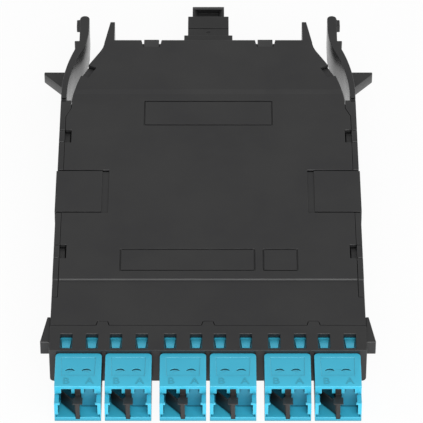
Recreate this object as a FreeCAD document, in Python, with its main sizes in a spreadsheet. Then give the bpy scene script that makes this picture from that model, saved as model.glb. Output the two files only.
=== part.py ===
import FreeCAD, Part
import math
import os
import Sketcher

# Fibre cassette: a flat tray with six LC duplex adapters in its front and one MPO adapter
# in its rear. X is across the cassette, +Y points to the rear and +Z up. The origin is the
# centre of the housing's underside. Inside every body, Y counts from the housing's front face.

SIZES = {
    # housing
    "housing_width": 88.3,
    "housing_length": 138.5,
    "front_height": 11.8,
    "middle_rise": 0.4,
    "rear_drop": 0.3,
    "middle_start": 29.0,
    "step_run": 0.35,
    "slope_after": 2.9,
    "slope_length": 2.7,
    "floor_thick": 1.2,
    "side_wall": 1.65,
    "rear_wall": 1.5,
    "cover_thick": 1.4,
    "cover_gap": 0.1,
    "bottom_round": 1.2,
    # front frame with its bays for the LC adapters
    "frame_depth": 10.2,
    "bay_depth": 12.2,
    "bay_width": 11.8,
    "bay_low": 1.35,
    "bay_high": 10.35,
    "end_wall": 0.8,
    "end_share": 1.05,
    "pair_share": 1.0,
    "group_share": 2.25,
    "window_width": 3.4,
    "window_start": 0.8,
    "window_end": 6.8,
    "window_offset": 3.6,
    "tab_width": 3.6,
    "tab_taper": 0.45,
    "tab_reach": 1.7,
    "tab_pitch": 29.5,
    # side keys near the front
    "key_reach": 2.65,
    "key_start": 4.0,
    "key_end": 14.2,
    "key_heel": 0.9,
    "key_low": 6.6,
    "key_height": 4.6,
    # plan of the rear, in from the sides and forward from the rear wall
    "slot_back": 29.5,
    "slope_inset": 3.15,
    "bend_inset": 6.55,
    "bend_back": 14.7,
    "neck_inset": 11.15,
    "neck_back": 5.7,
    "horn_root_inset": 12.45,
    "horn_root_back": 0.9,
    "horn_tip_inset": 14.05,
    "horn_inside_inset": 15.45,
    "horn_reach": 8.9,
    "side_bow": 60.0,
    "neck_bow": 12.0,
    "gusset_back": 7.5,
    "gusset_length": 3.8,
    # cover
    "shoulder_end": 22.0,
    "flap_length": 19.2,
    "flap_shift": 0.7,
    "flap_proud": 0.3,
    "back_thick": 1.15,
    "hinge_inset": 15.15,
    "hinge_groove": 1.9,
    "groove_deep": 0.4,
    "slit_width": 0.4,
    "skirt_low": 6.0,
    "ring_width": 0.35,
    "ring_deep": 0.35,
    "title_left": 25.2,
    "title_right": 13.4,
    "title_start": 32.6,
    "title_length": 9.3,
    "square_left": 15.6,
    "square_width": 10.0,
    "rear_label_width": 38.3,
    "rear_label_back": 11.7,
    "rear_label_length": 11.4,
    "notch_front": 38.0,
    "notch_back": 19.6,
    "notch_length": 5.8,
    "notch_deep": 1.85,
    "edge_notch_length": 4.9,
    "edge_notch_deep": 2.6,
    "edge_notch_lean": 0.44,
    "hook_gap": 0.25,
    "hook_sunk": 0.9,
    "hook_low": 8.0,
    "tongue_centre": 17.35,
    "tongue_width": 4.6,
    "tongue_length": 3.3,
    "tongue_reach": 1.15,
    "tongue_slit": 1.0,
    "tongue_slope": 0.8,
    # release arms, measured from the bending line at their root
    "arm_thick": 1.7,
    "arm_gap": 0.2,
    "arm_low": 0.3,
    "arm_outer_bow": 66.0,
    "arm_inner_bow": 58.0,
    "arm_end_bow": 33.0,
    "arm_lean": 2.65,
    "arm_lean_place": 24.2,
    "arm_bend": 4.45,
    "arm_bend_place": 22.15,
    "arm_inside": 6.73,
    "arm_inside_place": 32.85,
    "step_place": 28.1,
    "step_reach": 0.25,
    "grip_floor": 3.9,
    "arm_tip": 39.4,
    "arm_tip_slant": 0.6,
    "arm_tip_bow": 1.45,
    "pad_reach": 2.85,
    "pad_start": 35.5,
    "pad_end": 38.9,
    "pad_low": 9.2,
    "pad_sunk": 0.35,
    "ear_reach": 6.6,
    "ear_place": 18.1,
    "ear_root": 9.9,
    "ear_tip": 0.9,
    "ear_low": 4.1,
    "ear_height": 3.5,
    # LC adapter, measured from its own centre line
    "head_width": 12.85,
    "head_low": 0.95,
    "head_high": 10.7,
    "head_round": 1.2,
    "mouth_reach": 17.0,
    "hood_reach": 13.3,
    "hood_wall": 0.5,
    "ledge_height": 7.62,
    "ledge_thick": 0.57,
    "ledge_width": 1.3,
    "lip_width": 1.55,
    "lip_length": 0.6,
    "adapter_rear": 12.0,
    "adapter_body_width": 11.6,
    "adapter_gap": 0.05,
    "port_pitch": 6.25,
    "port_floor": 2.44,
    "port_roof": 7.9,
    "port_half": 5.43,
    "latch_width": 2.75,
    "latch_centre": 3.15,
    "latch_roof": 9.6,
    "centre_slot": 1.64,
    "chamber_half": 5.95,
    "chamber_end": 7.4,
    "port_end": 6.0,
    "web_end": 1.0,
    "sleeve_bore": 0.85,
    "foot_wide": 0.7,
    "foot_high": 1.0,
    "foot_long": 1.5,
    "tooth_front": 2.1,
    "tooth_rear": 2.9,
    "tooth_start": 1.5,
    "tooth_end": 5.9,
    "tooth_high": 0.9,
    "panel_deep": 0.12,
    "panel_half": 4.8,
    "panel_start": 1.7,
    "panel_end": 9.1,
    "dent_deep": 0.5,
    "dent_half": 1.33,
    "dent_centre": 2.25,
    "dent_place": 7.0,
    # port divider
    "divider_half": 0.75,
    "divider_web": 0.2,
    "stub_half": 0.55,
    "stub_end": 16.1,
    "divider_block": 9.3,
    "roof_low": 7.1,
    "roof_thick": 0.3,
    "roof_half": 1.37,
    "roof_end": 14.3,
    "divider_foot": 0.8,
    # shutters
    "barrel": 0.3,
    "leaf_thick": 0.35,
    "leaf_low": 2.55,
    "leaf_high": 7.0,
    "leaf_b_pivot": 0.62,
    "leaf_b_place": 15.7,
    "leaf_b_length": 6.1,
    "leaf_b_angle": 41.4,
    "leaf_a_pivot": 5.58,
    "leaf_a_place": 12.4,
    "leaf_a_length": 4.6,
    "leaf_a_high": 7.8,
    "leaf_a_tab": 2.5,
    "leaf_a_tab_high": 9.4,
    # parts inside the LC adapters
    "sleeve_outer": 0.8,
    "sleeve_inner": 0.635,
    "sleeve_length": 6.8,
    "ferrule_r": 0.625,
    "ferrule_reach": 2.4,
    "ferrule_end": 9.0,
    "plug_side": 4.5,
    "plug_end": 13.5,
    "clip_end": 18.0,
    "clip_height": 3.0,
    "plug_latch_width": 2.2,
    "plug_latch_high": 8.6,
    "boot_length": 8.0,
    "boot_r": 1.5,
    "boot_tip_r": 0.7,
    # MPO adapter, plug and cap
    "mpo_width": 12.5,
    "mpo_low": 1.35,
    "mpo_height": 8.95,
    "mpo_reach": 13.7,
    "mpo_joint": 7.8,
    "mpo_inside": 12.0,
    "mpo_flange_width": 14.8,
    "mpo_flange_thick": 3.9,
    "mpo_port_width": 9.9,
    "mpo_port_height": 6.8,
    "mpo_dot": 0.6,
    "mpo_dot_place": 2.1,
    "joint_groove": 0.25,
    "cap_width": 9.75,
    "cap_height": 6.4,
    "cap_inside": 6.0,
    "cap_reach": 7.5,
    "cap_dish": 1.5,
    "cap_dish_width": 8.5,
    "cap_dish_floor": 6.0,
    "cap_rim": 2.4,
    "cap_fall": 0.8,
    "mpo_plug_length": 21.0,
    "mpo_plug_gap": 0.15,
    "mpo_ferrule_width": 6.4,
    "mpo_ferrule_height": 2.5,
    "mpo_boot_length": 9.0,
    "mpo_boot_r": 2.5,
    "cheek_thick": 1.6,
    "cheek_height": 9.0,
    "cheek_gap": 0.15,
    # fibres
    "trunk_r": 1.0,
    "fibre_r": 0.25,
    "fibre_pitch": 1.6,
    "block_place": 59.0,
    "block_length": 8.0,
    "block_top": 7.5,
    "block_margin": 1.4,
}

DOCUMENT = FreeCAD.newDocument("fibre_cassette")
SHEET = DOCUMENT.addObject("Spreadsheet::Sheet", "Sizes")
for row, (alias, number) in enumerate(SIZES.items(), start=1):
    SHEET.set("A%d" % row, alias)
    SHEET.set("B%d" % row, str(number))
    SHEET.setAlias("B%d" % row, alias)
DOCUMENT.recompute()

VECTOR = FreeCAD.Vector
UP = VECTOR(0, 0, 1)


class Size:
    """A length that knows its number and the sheet expression that gives it."""

    def __init__(self, value, text):
        self.value = value
        self.text = text

    def __add__(self, other):
        other = as_size(other)
        return Size(self.value + other.value, "(%s + %s)" % (self.text, other.text))

    def __sub__(self, other):
        other = as_size(other)
        return Size(self.value - other.value, "(%s - %s)" % (self.text, other.text))

    def __rsub__(self, other):
        return as_size(other) - self

    def __mul__(self, other):
        other = as_size(other)
        return Size(self.value * other.value, "(%s * %s)" % (self.text, other.text))

    def __truediv__(self, other):
        other = as_size(other)
        return Size(self.value / other.value, "(%s / %s)" % (self.text, other.text))

    def __neg__(self):
        return Size(-self.value, "(0 - %s)" % self.text)


def as_size(number):
    """Wraps a plain number, so that sizes and numbers mix."""
    if isinstance(number, Size):
        return number
    return Size(float(number), repr(float(number)))


class Sheet:
    """The sheet's cells by alias, as sizes."""

    def __getattr__(self, alias):
        return Size(float(getattr(SHEET, alias)), "Sizes." + alias)


S = Sheet()

# Heights and places that several pieces share.
HALF = S.housing_width / 2
SEAT = S.front_height - S.cover_thick
MIDDLE_TOP = S.front_height + S.middle_rise
REAR_TOP = MIDDLE_TOP - S.rear_drop
FRONT_FACE = -(S.housing_length / 2)
COVER_SIDE = HALF - S.side_wall
MPO_CENTRE = S.mpo_low + S.mpo_height / 2
PORT_CENTRE = S.port_floor + S.plug_side / 2 + S.adapter_gap

# The heads of the six adapters share what the width leaves: at both ends, between the two
# adapters of a pair, and between the pairs.
SPARE = S.housing_width - S.head_width * 6 - S.end_wall * 2
SHARE = SPARE / (S.end_share * 2 + S.pair_share * 3 + S.group_share * 2)
PAIR_PITCH = S.head_width + SHARE * S.pair_share
GROUP_PITCH = PAIR_PITCH + S.head_width + SHARE * S.group_share
ADAPTER_PLACES = [
    GROUP_PITCH * group + PAIR_PITCH * side / 2
    for group in (-1, 0, 1)
    for side in (-1, 1)
]


def bind(thing, prop, size):
    """Sets one property from the sheet."""
    thing.setExpression(prop, as_size(size).text)


def place(thing, x, y, z, angle=None):
    """Puts a piece in the cassette's frame, turned about the vertical by angle degrees."""
    thing.Placement = FreeCAD.Placement(VECTOR(0, 0, 0), FreeCAD.Rotation(UP, 0))
    bind(thing, "Placement.Base.x", x)
    bind(thing, "Placement.Base.y", FRONT_FACE + y)
    bind(thing, "Placement.Base.z", z)
    if angle is not None:
        thing.Placement.Rotation = FreeCAD.Rotation(UP, as_size(angle).value)
        bind(thing, "Placement.Rotation.Angle", angle)


def new_body(label):
    """Starts a PartDesign body in the cassette's frame."""
    body = DOCUMENT.addObject("PartDesign::Body", label)
    body.Label = label
    place(body, 0, 0, 0)
    return body


def new_sketch(body, name, plane="XY_Plane", offset=0):
    """Attaches a sketch to one of the body's own origin planes, offset along its normal."""
    planes = {feature.Role: feature for feature in body.Origin.OriginFeatures}
    sketch = body.newObject("Sketcher::SketchObject", name)
    sketch.AttachmentSupport = [(planes[plane], "")]
    sketch.MapMode = "FlatFace"
    bind(sketch, "AttachmentOffset.Base.z", offset)
    return sketch


def constrain(sketch, rules):
    """Adds constraints in one go, and binds those that have a size."""
    numbers = sketch.addConstraint([rule for rule, _ in rules])
    for number, (_, size) in zip(numbers, rules):
        if size is not None:
            sketch.setExpression("Constraints[%d]" % number, size.text)


def point_rules(edge, position, x, y):
    """The two constraints that tie one point of a sketch to its place."""
    return [(Sketcher.Constraint("DistanceX", -1, 1, edge, position, x.value), x),
            (Sketcher.Constraint("DistanceY", -1, 1, edge, position, y.value), y)]


def arc_between(start, end, bow):
    """An arc of radius bow, bulging to the left of its chord if the bow is positive."""
    chord = end - start
    left = VECTOR(-chord.y, chord.x, 0).normalize()
    radius = abs(bow)
    rise = radius - math.sqrt(radius ** 2 - (chord.Length / 2) ** 2)
    middle = (start + end) * 0.5 + left * math.copysign(rise, bow)
    if bow > 0:
        return Part.Arc(end, middle, start)
    return Part.Arc(start, middle, end)


def outline(sketch, corners):
    """Draws a closed outline. A corner is (x, y) or (x, y, bow): the edge that leaves a corner
    with a bow is an arc of that radius, to the left of its chord if the bow is positive."""
    corners = [tuple(as_size(size) for size in corner) for corner in corners]
    points = [VECTOR(corner[0].value, corner[1].value, 0) for corner in corners]
    edges = []
    for corner, start, end in zip(corners, points, points[1:] + points[:1]):
        bent = len(corner) == 3
        edges.append(arc_between(start, end, corner[2].value) if bent
                     else Part.LineSegment(start, end))
    numbers = sketch.addGeometry(edges, False)
    ends = []
    rules = []
    for number, corner, start in zip(numbers, corners, points):
        kept = sketch.Geometry[number].StartPoint.distanceToPoint(start) < 1e-6
        ends.append((1, 2) if kept else (2, 1))
        rules += point_rules(number, ends[-1][0], corner[0], corner[1])
        if len(corner) == 3:
            bow = corner[2] if corner[2].value > 0 else -corner[2]
            rules.append((Sketcher.Constraint("Radius", number, bow.value), bow))
    for index, number in enumerate(numbers):
        after = (index + 1) % len(numbers)
        rules.append((Sketcher.Constraint("Coincident", number, ends[index][1],
                                          numbers[after], ends[after][0]), None))
    constrain(sketch, rules)


def rectangle(sketch, left, right, low, high):
    """Draws a rectangle between two places each way."""
    outline(sketch, [(left, low), (right, low), (right, high), (left, high)])


def both_sides(sketch, corners):
    """Draws an outline and its mirror image across the centre line."""
    outline(sketch, corners)
    outline(sketch, mirror(corners))


def mirror(corners):
    """The same outline across the centre line."""
    turned = []
    for corner in corners:
        bow = [-as_size(size) for size in corner[2:]]
        turned.append((-as_size(corner[0]), corner[1], *bow))
    return turned


def other_half(corners):
    """The mirror image of half an outline, in the order that goes on round it. The edge
    that leaves a corner is the one that reached its twin, so it bulges to the same hand."""
    bows = [()] + [corner[2:] for corner in corners[:-1]]
    return [(-as_size(corner[0]), corner[1], *bow)
            for corner, bow in zip(reversed(corners), reversed(bows))]


def circle(sketch, x, y, radius):
    """Draws a circle."""
    x, y, radius = as_size(x), as_size(y), as_size(radius)
    edge = sketch.addGeometry(Part.Circle(VECTOR(x.value, y.value, 0), UP, radius.value), False)
    rules = [(Sketcher.Constraint("Radius", edge, radius.value), radius)]
    constrain(sketch, rules + point_rules(edge, 3, x, y))


def pad(body, sketch, length, both=False, back=False):
    """Raises a sketch into material."""
    feature = body.newObject("PartDesign::Pad", sketch.Name + "_pad")
    feature.Profile = sketch
    feature.Midplane = both
    feature.Reversed = back
    bind(feature, "Length", length)
    return feature


def pocket(body, sketch, length, both=False, back=False):
    """Cuts a sketch out of the material."""
    feature = body.newObject("PartDesign::Pocket", sketch.Name + "_cut")
    feature.Profile = sketch
    feature.Midplane = both
    feature.Reversed = back
    bind(feature, "Length", length)
    return feature


def fillet(body, radius, wanted):
    """Rounds the edges that the test picks, by their middle and direction."""
    DOCUMENT.recompute()
    base = body.Tip
    names = []
    for index, edge in enumerate(base.Shape.Edges, start=1):
        if len(edge.Vertexes) < 2:
            continue
        run = edge.Vertexes[1].Point - edge.Vertexes[0].Point
        if wanted(edge.CenterOfMass, run):
            names.append("Edge%d" % index)
    feature = body.newObject("PartDesign::Fillet", body.Name + "_round")
    feature.Base = (base, names)
    bind(feature, "Radius", radius)
    return feature


def copies(first, name, places, y=0, z=0, angle=None):
    """Links the first piece into the other places, and names them all by number."""
    first.Label = "%s_1" % name
    pieces = [first]
    for number, x in enumerate(places, start=1):
        if number == 1:
            place(first, x, y, z, angle)
            continue
        link = DOCUMENT.addObject("App::Link", "%s_%d" % (name, number))
        link.LinkedObject = first
        link.Label = "%s_%d" % (name, number)
        place(link, x, y, z, angle)
        pieces.append(link)
    return pieces


# ---------------------------------------------------------------- housing

NECK = HALF - S.neck_inset
BEND = HALF - S.bend_inset
SLOPE = HALF - S.slope_inset
SLOT_END = S.housing_length - S.slot_back
BEND_PLACE = S.housing_length - S.bend_back
NECK_PLACE = S.housing_length - S.neck_back
HORN_ROOT = (HALF - S.horn_root_inset, S.housing_length - S.horn_root_back)
HORN_END = S.housing_length + S.horn_reach
HORN_TIP = HALF - S.horn_tip_inset
HORN_INSIDE = HALF - S.horn_inside_inset
GUSSET_START = SLOT_END - S.gusset_back
GUSSET_CORNER = GUSSET_START + S.gusset_length
NOTCH_REAR = SLOT_END - S.notch_back
FLAP_MIDDLE = (S.notch_front + S.notch_length + NOTCH_REAR) / 2 + S.flap_shift
FLAP_START = FLAP_MIDDLE - S.flap_length / 2
FLAP_END = FLAP_MIDDLE + S.flap_length / 2
FLAP_HINGE = HALF - S.hinge_inset
REAR_LABEL = SLOT_END - S.rear_label_back
TONGUE_START = S.housing_length - S.tongue_length
TONGUE_END = S.housing_length + S.tongue_reach


def front_strip():
    """The top of the front frame, with three tabs that locate the cover."""
    corners = [(-HALF, 0), (HALF, 0), (HALF, S.frame_depth)]
    for side in (1, 0, -1):
        corners += tab(side, 0)
    return corners + [(-HALF, S.frame_depth)]


def tab(side, gap):
    """One tab of the front strip, grown by gap where the cover makes room for it."""
    centre = S.tab_pitch * side
    root = S.tab_width / 2 + gap
    tip = root - S.tab_taper
    low = S.frame_depth + (S.cover_gap if gap else 0)
    high = S.frame_depth + S.tab_reach + gap
    return [(centre + root, low), (centre + tip, high), (centre - tip, high),
            (centre - root, low)]


def top_profile(body, name):
    """Cuts the top to its heights: front strip, raised middle and lower rear."""
    sketch = new_sketch(body, name, "YZ_Plane")
    clear = MIDDLE_TOP + S.front_height
    slope_start = SLOT_END + S.slope_after
    slope_end = slope_start + S.slope_length
    outline(sketch, [
        (-S.frame_depth, S.front_height), (S.middle_start - S.step_run / 2, S.front_height),
        (S.middle_start + S.step_run / 2, MIDDLE_TOP), (slope_start, MIDDLE_TOP),
        (slope_end, REAR_TOP),
        (HORN_END + S.frame_depth, REAR_TOP), (HORN_END + S.frame_depth, clear),
        (-S.frame_depth, clear)])
    pocket(body, sketch, S.housing_width * 2, both=True)


def horn():
    """The outline of one horn, from the neck round its tip to the rear wall."""
    return [(NECK, NECK_PLACE, S.neck_bow), HORN_ROOT, (HORN_TIP, HORN_END),
            (HORN_INSIDE, HORN_END), (HORN_INSIDE, S.housing_length)]


def along_edge(outer, inner, gap):
    """An outline that follows the slanting edge at its notch. It reaches from outer to inner
    across the edge, and stays a gap inside the notch's ends."""
    middle = BEND_PLACE
    half = S.edge_notch_length / 2 - gap
    shift = S.edge_notch_lean * half
    fall = S.edge_notch_lean
    return [(BEND + shift + outer, middle - half + fall * outer),
            (BEND - shift + outer, middle + half + fall * outer),
            (BEND - shift - inner, middle + half - fall * inner),
            (BEND + shift - inner, middle - half - fall * inner)]


def make_base():
    """The tray: floor, walls, front frame, horns, side keys, ribs and snap hooks."""
    body = new_body("base_shell")
    plan = new_sketch(body, "tray_plan")
    right = [(HALF, 0), (HALF, SLOT_END), (SLOPE, SLOT_END, -S.side_bow),
             (BEND, BEND_PLACE)] + horn()
    outline(plan, right + other_half(right))
    pad(body, plan, SEAT)

    rim = new_sketch(body, "tray_rim", offset=SEAT)
    outline(rim, front_strip())
    both_sides(rim, [(COVER_SIDE, S.shoulder_end), (HALF, S.shoulder_end),
                     (HALF, FLAP_START), (COVER_SIDE, FLAP_START)])
    both_sides(rim, [(COVER_SIDE, FLAP_END), (HALF, FLAP_END), (HALF, SLOT_END),
                     (SLOPE, SLOT_END), (SLOPE, GUSSET_CORNER),
                     (COVER_SIDE, GUSSET_START)])
    pad(body, rim, MIDDLE_TOP - SEAT)

    cavity = new_sketch(body, "tray_cavity", offset=SEAT)
    rear = S.housing_length - S.rear_wall
    end = SLOT_END - S.side_wall
    inner_slope = SLOPE - S.side_wall
    inner_bend = BEND - S.side_wall
    inner_neck = NECK - S.side_wall
    right = [(COVER_SIDE, S.bay_depth), (COVER_SIDE, GUSSET_START),
             (inner_slope, GUSSET_CORNER), (inner_slope, end, -S.side_bow),
             (inner_bend, BEND_PLACE), (inner_neck, NECK_PLACE), (HORN_INSIDE, rear)]
    outline(cavity, right + other_half(right))
    pocket(body, cavity, SEAT - S.floor_thick)

    bays = new_sketch(body, "adapter_bays", "XZ_Plane")
    for centre in ADAPTER_PLACES:
        half = S.bay_width / 2
        rectangle(bays, centre - half, centre + half, S.bay_low, S.bay_high)
    pocket(body, bays, S.bay_depth)

    windows = new_sketch(body, "snap_windows", offset=MIDDLE_TOP)
    for centre in ADAPTER_PLACES:
        for side in (-1, 1):
            middle = centre + S.window_offset * side
            half = S.window_width / 2
            rectangle(windows, middle - half, middle + half, S.window_start, S.window_end)
    pocket(body, windows, MIDDLE_TOP - S.bay_high + S.adapter_gap)

    rear_gate = new_sketch(body, "mpo_gate", offset=SEAT)
    half = S.mpo_width / 2 + S.cheek_gap
    rectangle(rear_gate, -half, half, rear - S.cheek_gap, S.housing_length + S.cheek_gap)
    pocket(body, rear_gate, SEAT - S.mpo_low)

    skirts = new_sketch(body, "flap_seats", offset=SEAT)
    both_sides(skirts, [(COVER_SIDE, FLAP_START), (HALF + S.side_wall, FLAP_START),
                        (HALF + S.side_wall, FLAP_END), (COVER_SIDE, FLAP_END)])
    pocket(body, skirts, SEAT - S.skirt_low)
    return body


def finish_base(body):
    """Adds what stands on the tray: inner walls, ribs, snap hooks and side keys."""
    backs = new_sketch(body, "flap_backs", offset=S.floor_thick)
    inner = COVER_SIDE - S.back_thick
    low = FLAP_START - S.back_thick
    high = FLAP_END + S.back_thick
    both_sides(backs, [(inner, low), (COVER_SIDE, low), (COVER_SIDE, high), (inner, high)])
    pad(body, backs, SEAT - S.floor_thick)

    cheeks = new_sketch(body, "mpo_cheeks", offset=S.floor_thick)
    near = S.mpo_width / 2 + S.cheek_gap
    rear = S.housing_length - S.rear_wall
    far = near + S.cheek_thick
    start = S.housing_length - S.mpo_inside
    both_sides(cheeks, [(near, start), (far, start), (far, rear), (near, rear)])
    pad(body, cheeks, S.cheek_height - S.floor_thick)

    hooks = new_sketch(body, "snap_hooks", offset=S.hook_low)
    tip = COVER_SIDE - S.cover_gap - S.notch_deep + S.hook_gap
    for start in (S.notch_front, NOTCH_REAR):
        low = start + S.hook_gap
        high = start + S.notch_length - S.hook_gap
        both_sides(hooks, [(tip, low), (COVER_SIDE, low), (COVER_SIDE, high), (tip, high)])
    reach = S.edge_notch_deep - S.hook_gap
    both_sides(hooks, along_edge(-S.hook_gap, reach, S.hook_gap))
    pad(body, hooks, REAR_TOP - S.hook_sunk - S.hook_low)

    slits = new_sketch(body, "hook_slits", offset=MIDDLE_TOP)
    for start in (S.notch_front, NOTCH_REAR):
        for low in (start, start + S.notch_length - S.hook_gap):
            high = low + S.hook_gap
            both_sides(slits, [(COVER_SIDE, low), (HALF + S.side_wall, low),
                               (HALF + S.side_wall, high), (COVER_SIDE, high)])
    pocket(body, slits, MIDDLE_TOP - SEAT)

    keys = new_sketch(body, "side_keys", offset=S.key_low)
    both_sides(keys, [(HALF, S.key_start), (HALF + S.key_reach, S.key_start),
                      (HALF + S.key_heel, S.key_end), (HALF, S.key_end)])
    pad(body, keys, S.key_height)

    top_profile(body, "tray_top")
    fillet(body, S.bottom_round, is_long_bottom_edge)
    return body


def is_long_bottom_edge(middle, run):
    """Picks the two long bottom edges of the side walls."""
    low = abs(middle.z) < 1e-6
    outer = abs(abs(middle.x) - HALF.value) < 1e-6
    return low and outer and abs(run.y) > SLOT_END.value / 2


def make_cover():
    """The cover plate, let in between the walls, with its flaps, notches and recesses."""
    body = new_body("top_cover")
    gap = S.cover_gap
    side = COVER_SIDE - gap
    flap = HALF + S.flap_proud
    front = S.frame_depth + gap
    plate = new_sketch(body, "cover_plate", offset=SEAT)
    right = [(HALF, front), (HALF, S.shoulder_end - gap), (side, S.shoulder_end - gap),
             (side, FLAP_START + gap), (flap, FLAP_START + gap),
             (flap, FLAP_END - gap), (side, FLAP_END - gap), (side, GUSSET_START),
             (SLOPE - gap, GUSSET_CORNER), (SLOPE - gap, SLOT_END, -S.side_bow),
             (BEND, BEND_PLACE)] + horn()
    edge = []
    for place_of_tab in (-1, 0, 1):
        edge += list(reversed(tab(place_of_tab, gap)))
    outline(plate, right + other_half(right) + edge)
    pad(body, plate, MIDDLE_TOP - SEAT)

    skirts = new_sketch(body, "flap_skirts", offset=S.skirt_low + gap)
    both_sides(skirts, [(COVER_SIDE + gap, FLAP_START + gap), (flap, FLAP_START + gap),
                        (flap, FLAP_END - gap), (COVER_SIDE + gap, FLAP_END - gap)])
    pad(body, skirts, SEAT - S.skirt_low)

    cuts = new_sketch(body, "cover_cuts", offset=MIDDLE_TOP)
    clear = HALF + S.side_wall
    for start in (FLAP_START + gap, FLAP_END - gap - S.slit_width):
        end = start + S.slit_width
        both_sides(cuts, [(FLAP_HINGE, start), (clear, start), (clear, end),
                          (FLAP_HINGE, end)])
    for start in (S.notch_front, NOTCH_REAR):
        end = start + S.notch_length
        both_sides(cuts, [(side - S.notch_deep, start), (clear, start), (clear, end),
                          (side - S.notch_deep, end)])
    pocket(body, cuts, MIDDLE_TOP - SEAT + gap)

    rear_cuts = new_sketch(body, "rear_cuts", offset=MIDDLE_TOP)
    both_sides(rear_cuts, along_edge(S.side_wall, S.edge_notch_deep, 0))
    clear = S.housing_length + S.cover_thick
    for side in (-1, 1):
        edge = S.tongue_centre + S.tongue_width * side / 2
        both_sides(rear_cuts, [(edge, TONGUE_START), (edge + S.hook_gap * side, TONGUE_START),
                               (edge + S.tongue_slit * side, clear), (edge, clear)])
    pocket(body, rear_cuts, MIDDLE_TOP - SEAT + gap)
    top_profile(body, "cover_top")
    return body


def ring(sketch, left, right, low, high):
    """Draws a rectangular ring, one groove wide, inside its outer edges."""
    wide = S.ring_width
    rectangle(sketch, left, right, low, high)
    rectangle(sketch, left + wide, right - wide, low + wide, high - wide)


def finish_cover(body):
    """Adds the ring grooves about the label places, and the grooves of the flaps' hinges."""
    rings = new_sketch(body, "label_rings", offset=MIDDLE_TOP)
    end = S.title_start + S.title_length
    ring(rings, -S.title_left, S.title_right, S.title_start, end)
    ring(rings, S.square_left, S.square_left + S.square_width, S.title_start, end)
    half = S.rear_label_width / 2
    ring(rings, -half, half, REAR_LABEL, REAR_LABEL + S.rear_label_length)
    pocket(body, rings, S.ring_deep)

    grooves = new_sketch(body, "flap_hinges", offset=MIDDLE_TOP)
    low = FLAP_START + S.cover_gap + S.slit_width
    high = FLAP_END - S.cover_gap - S.slit_width
    both_sides(grooves, [(FLAP_HINGE, low), (FLAP_HINGE + S.hinge_groove, low),
                         (FLAP_HINGE + S.hinge_groove, high), (FLAP_HINGE, high)])
    pocket(body, grooves, S.groove_deep)

    tips = new_sketch(body, "tongue_tips", offset=SEAT)
    half = S.tongue_width / 2
    both_sides(tips, [(S.tongue_centre - half, TONGUE_START),
                      (S.tongue_centre + half, TONGUE_START),
                      (S.tongue_centre + half, TONGUE_END),
                      (S.tongue_centre - half, TONGUE_END)])
    pad(body, tips, REAR_TOP - SEAT)
    for name, centre in (("right", S.tongue_centre), ("left", -S.tongue_centre)):
        slope = new_sketch(body, name + "_tongue_slope", "YZ_Plane", centre)
        clear = TONGUE_END + S.cover_gap
        outline(slope, [(TONGUE_START, REAR_TOP), (clear, REAR_TOP - S.tongue_slope),
                        (clear, MIDDLE_TOP), (TONGUE_START, MIDDLE_TOP)])
        pocket(body, slope, S.tongue_width, both=True)
    return body


# ---------------------------------------------------------------- release arms

ARM_X = HALF - S.arm_thick / 2
ARM_Y = SLOT_END + S.arm_gap + S.arm_thick / 2


def make_arm(label, side):
    """A release arm: an S-shaped plate with finger steps and the rear latch ear. Its own
    origin is the bending line at its root."""
    body = new_body(label)
    half = S.arm_thick / 2
    plate = new_sketch(body, label + "_plan", offset=S.arm_low)
    corners = [
        (half, 0, -S.arm_outer_bow), (-S.arm_lean, S.arm_lean_place),
        (-S.arm_lean + S.step_reach, S.step_place), (-S.grip_floor, S.step_place),
        (-S.grip_floor, S.arm_tip, -S.arm_tip_bow),
        (-S.arm_inside, S.arm_tip - S.arm_tip_slant),
        (-S.arm_inside, S.arm_inside_place, -S.arm_end_bow),
        (-S.arm_bend, S.arm_bend_place, S.arm_inner_bow), (-half, 0, -half * 1.05)]
    outline(plate, corners if side > 0 else mirror(corners))
    pad(body, plate, REAR_TOP - S.arm_low)

    grip = new_sketch(body, label + "_grip", offset=S.pad_low)
    inner = S.grip_floor + half
    corners = [(-inner, S.pad_start), (-S.pad_reach, S.pad_start), (-S.pad_reach, S.pad_end),
               (-inner, S.pad_end)]
    outline(grip, corners if side > 0 else mirror(corners))
    pad(body, grip, REAR_TOP - S.pad_sunk - S.pad_low)

    ear = new_sketch(body, label + "_ear", offset=S.ear_low)
    corners = [(-half / 2, S.ear_root), (S.arm_low, S.ear_root),
               (S.ear_reach, S.ear_place - S.ear_tip), (S.ear_reach, S.ear_place),
               (-S.arm_thick, S.ear_place)]
    outline(ear, corners if side > 0 else mirror(corners))
    pad(body, ear, S.ear_height)
    place(body, ARM_X if side > 0 else -ARM_X, ARM_Y, 0)
    return body


# ---------------------------------------------------------------- LC adapters

PLUG_LOW = S.port_floor + S.adapter_gap
PLUG_HIGH = PLUG_LOW + S.plug_side
BODY_TOP = S.bay_high - S.adapter_gap


def ports(sketch, half_width, low, high, centre=None):
    """Draws one rectangle for each of the two ports."""
    middle = S.port_pitch / 2 if centre is None else centre
    for side in (-1, 1):
        rectangle(sketch, middle * side - half_width, middle * side + half_width, low, high)


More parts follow.
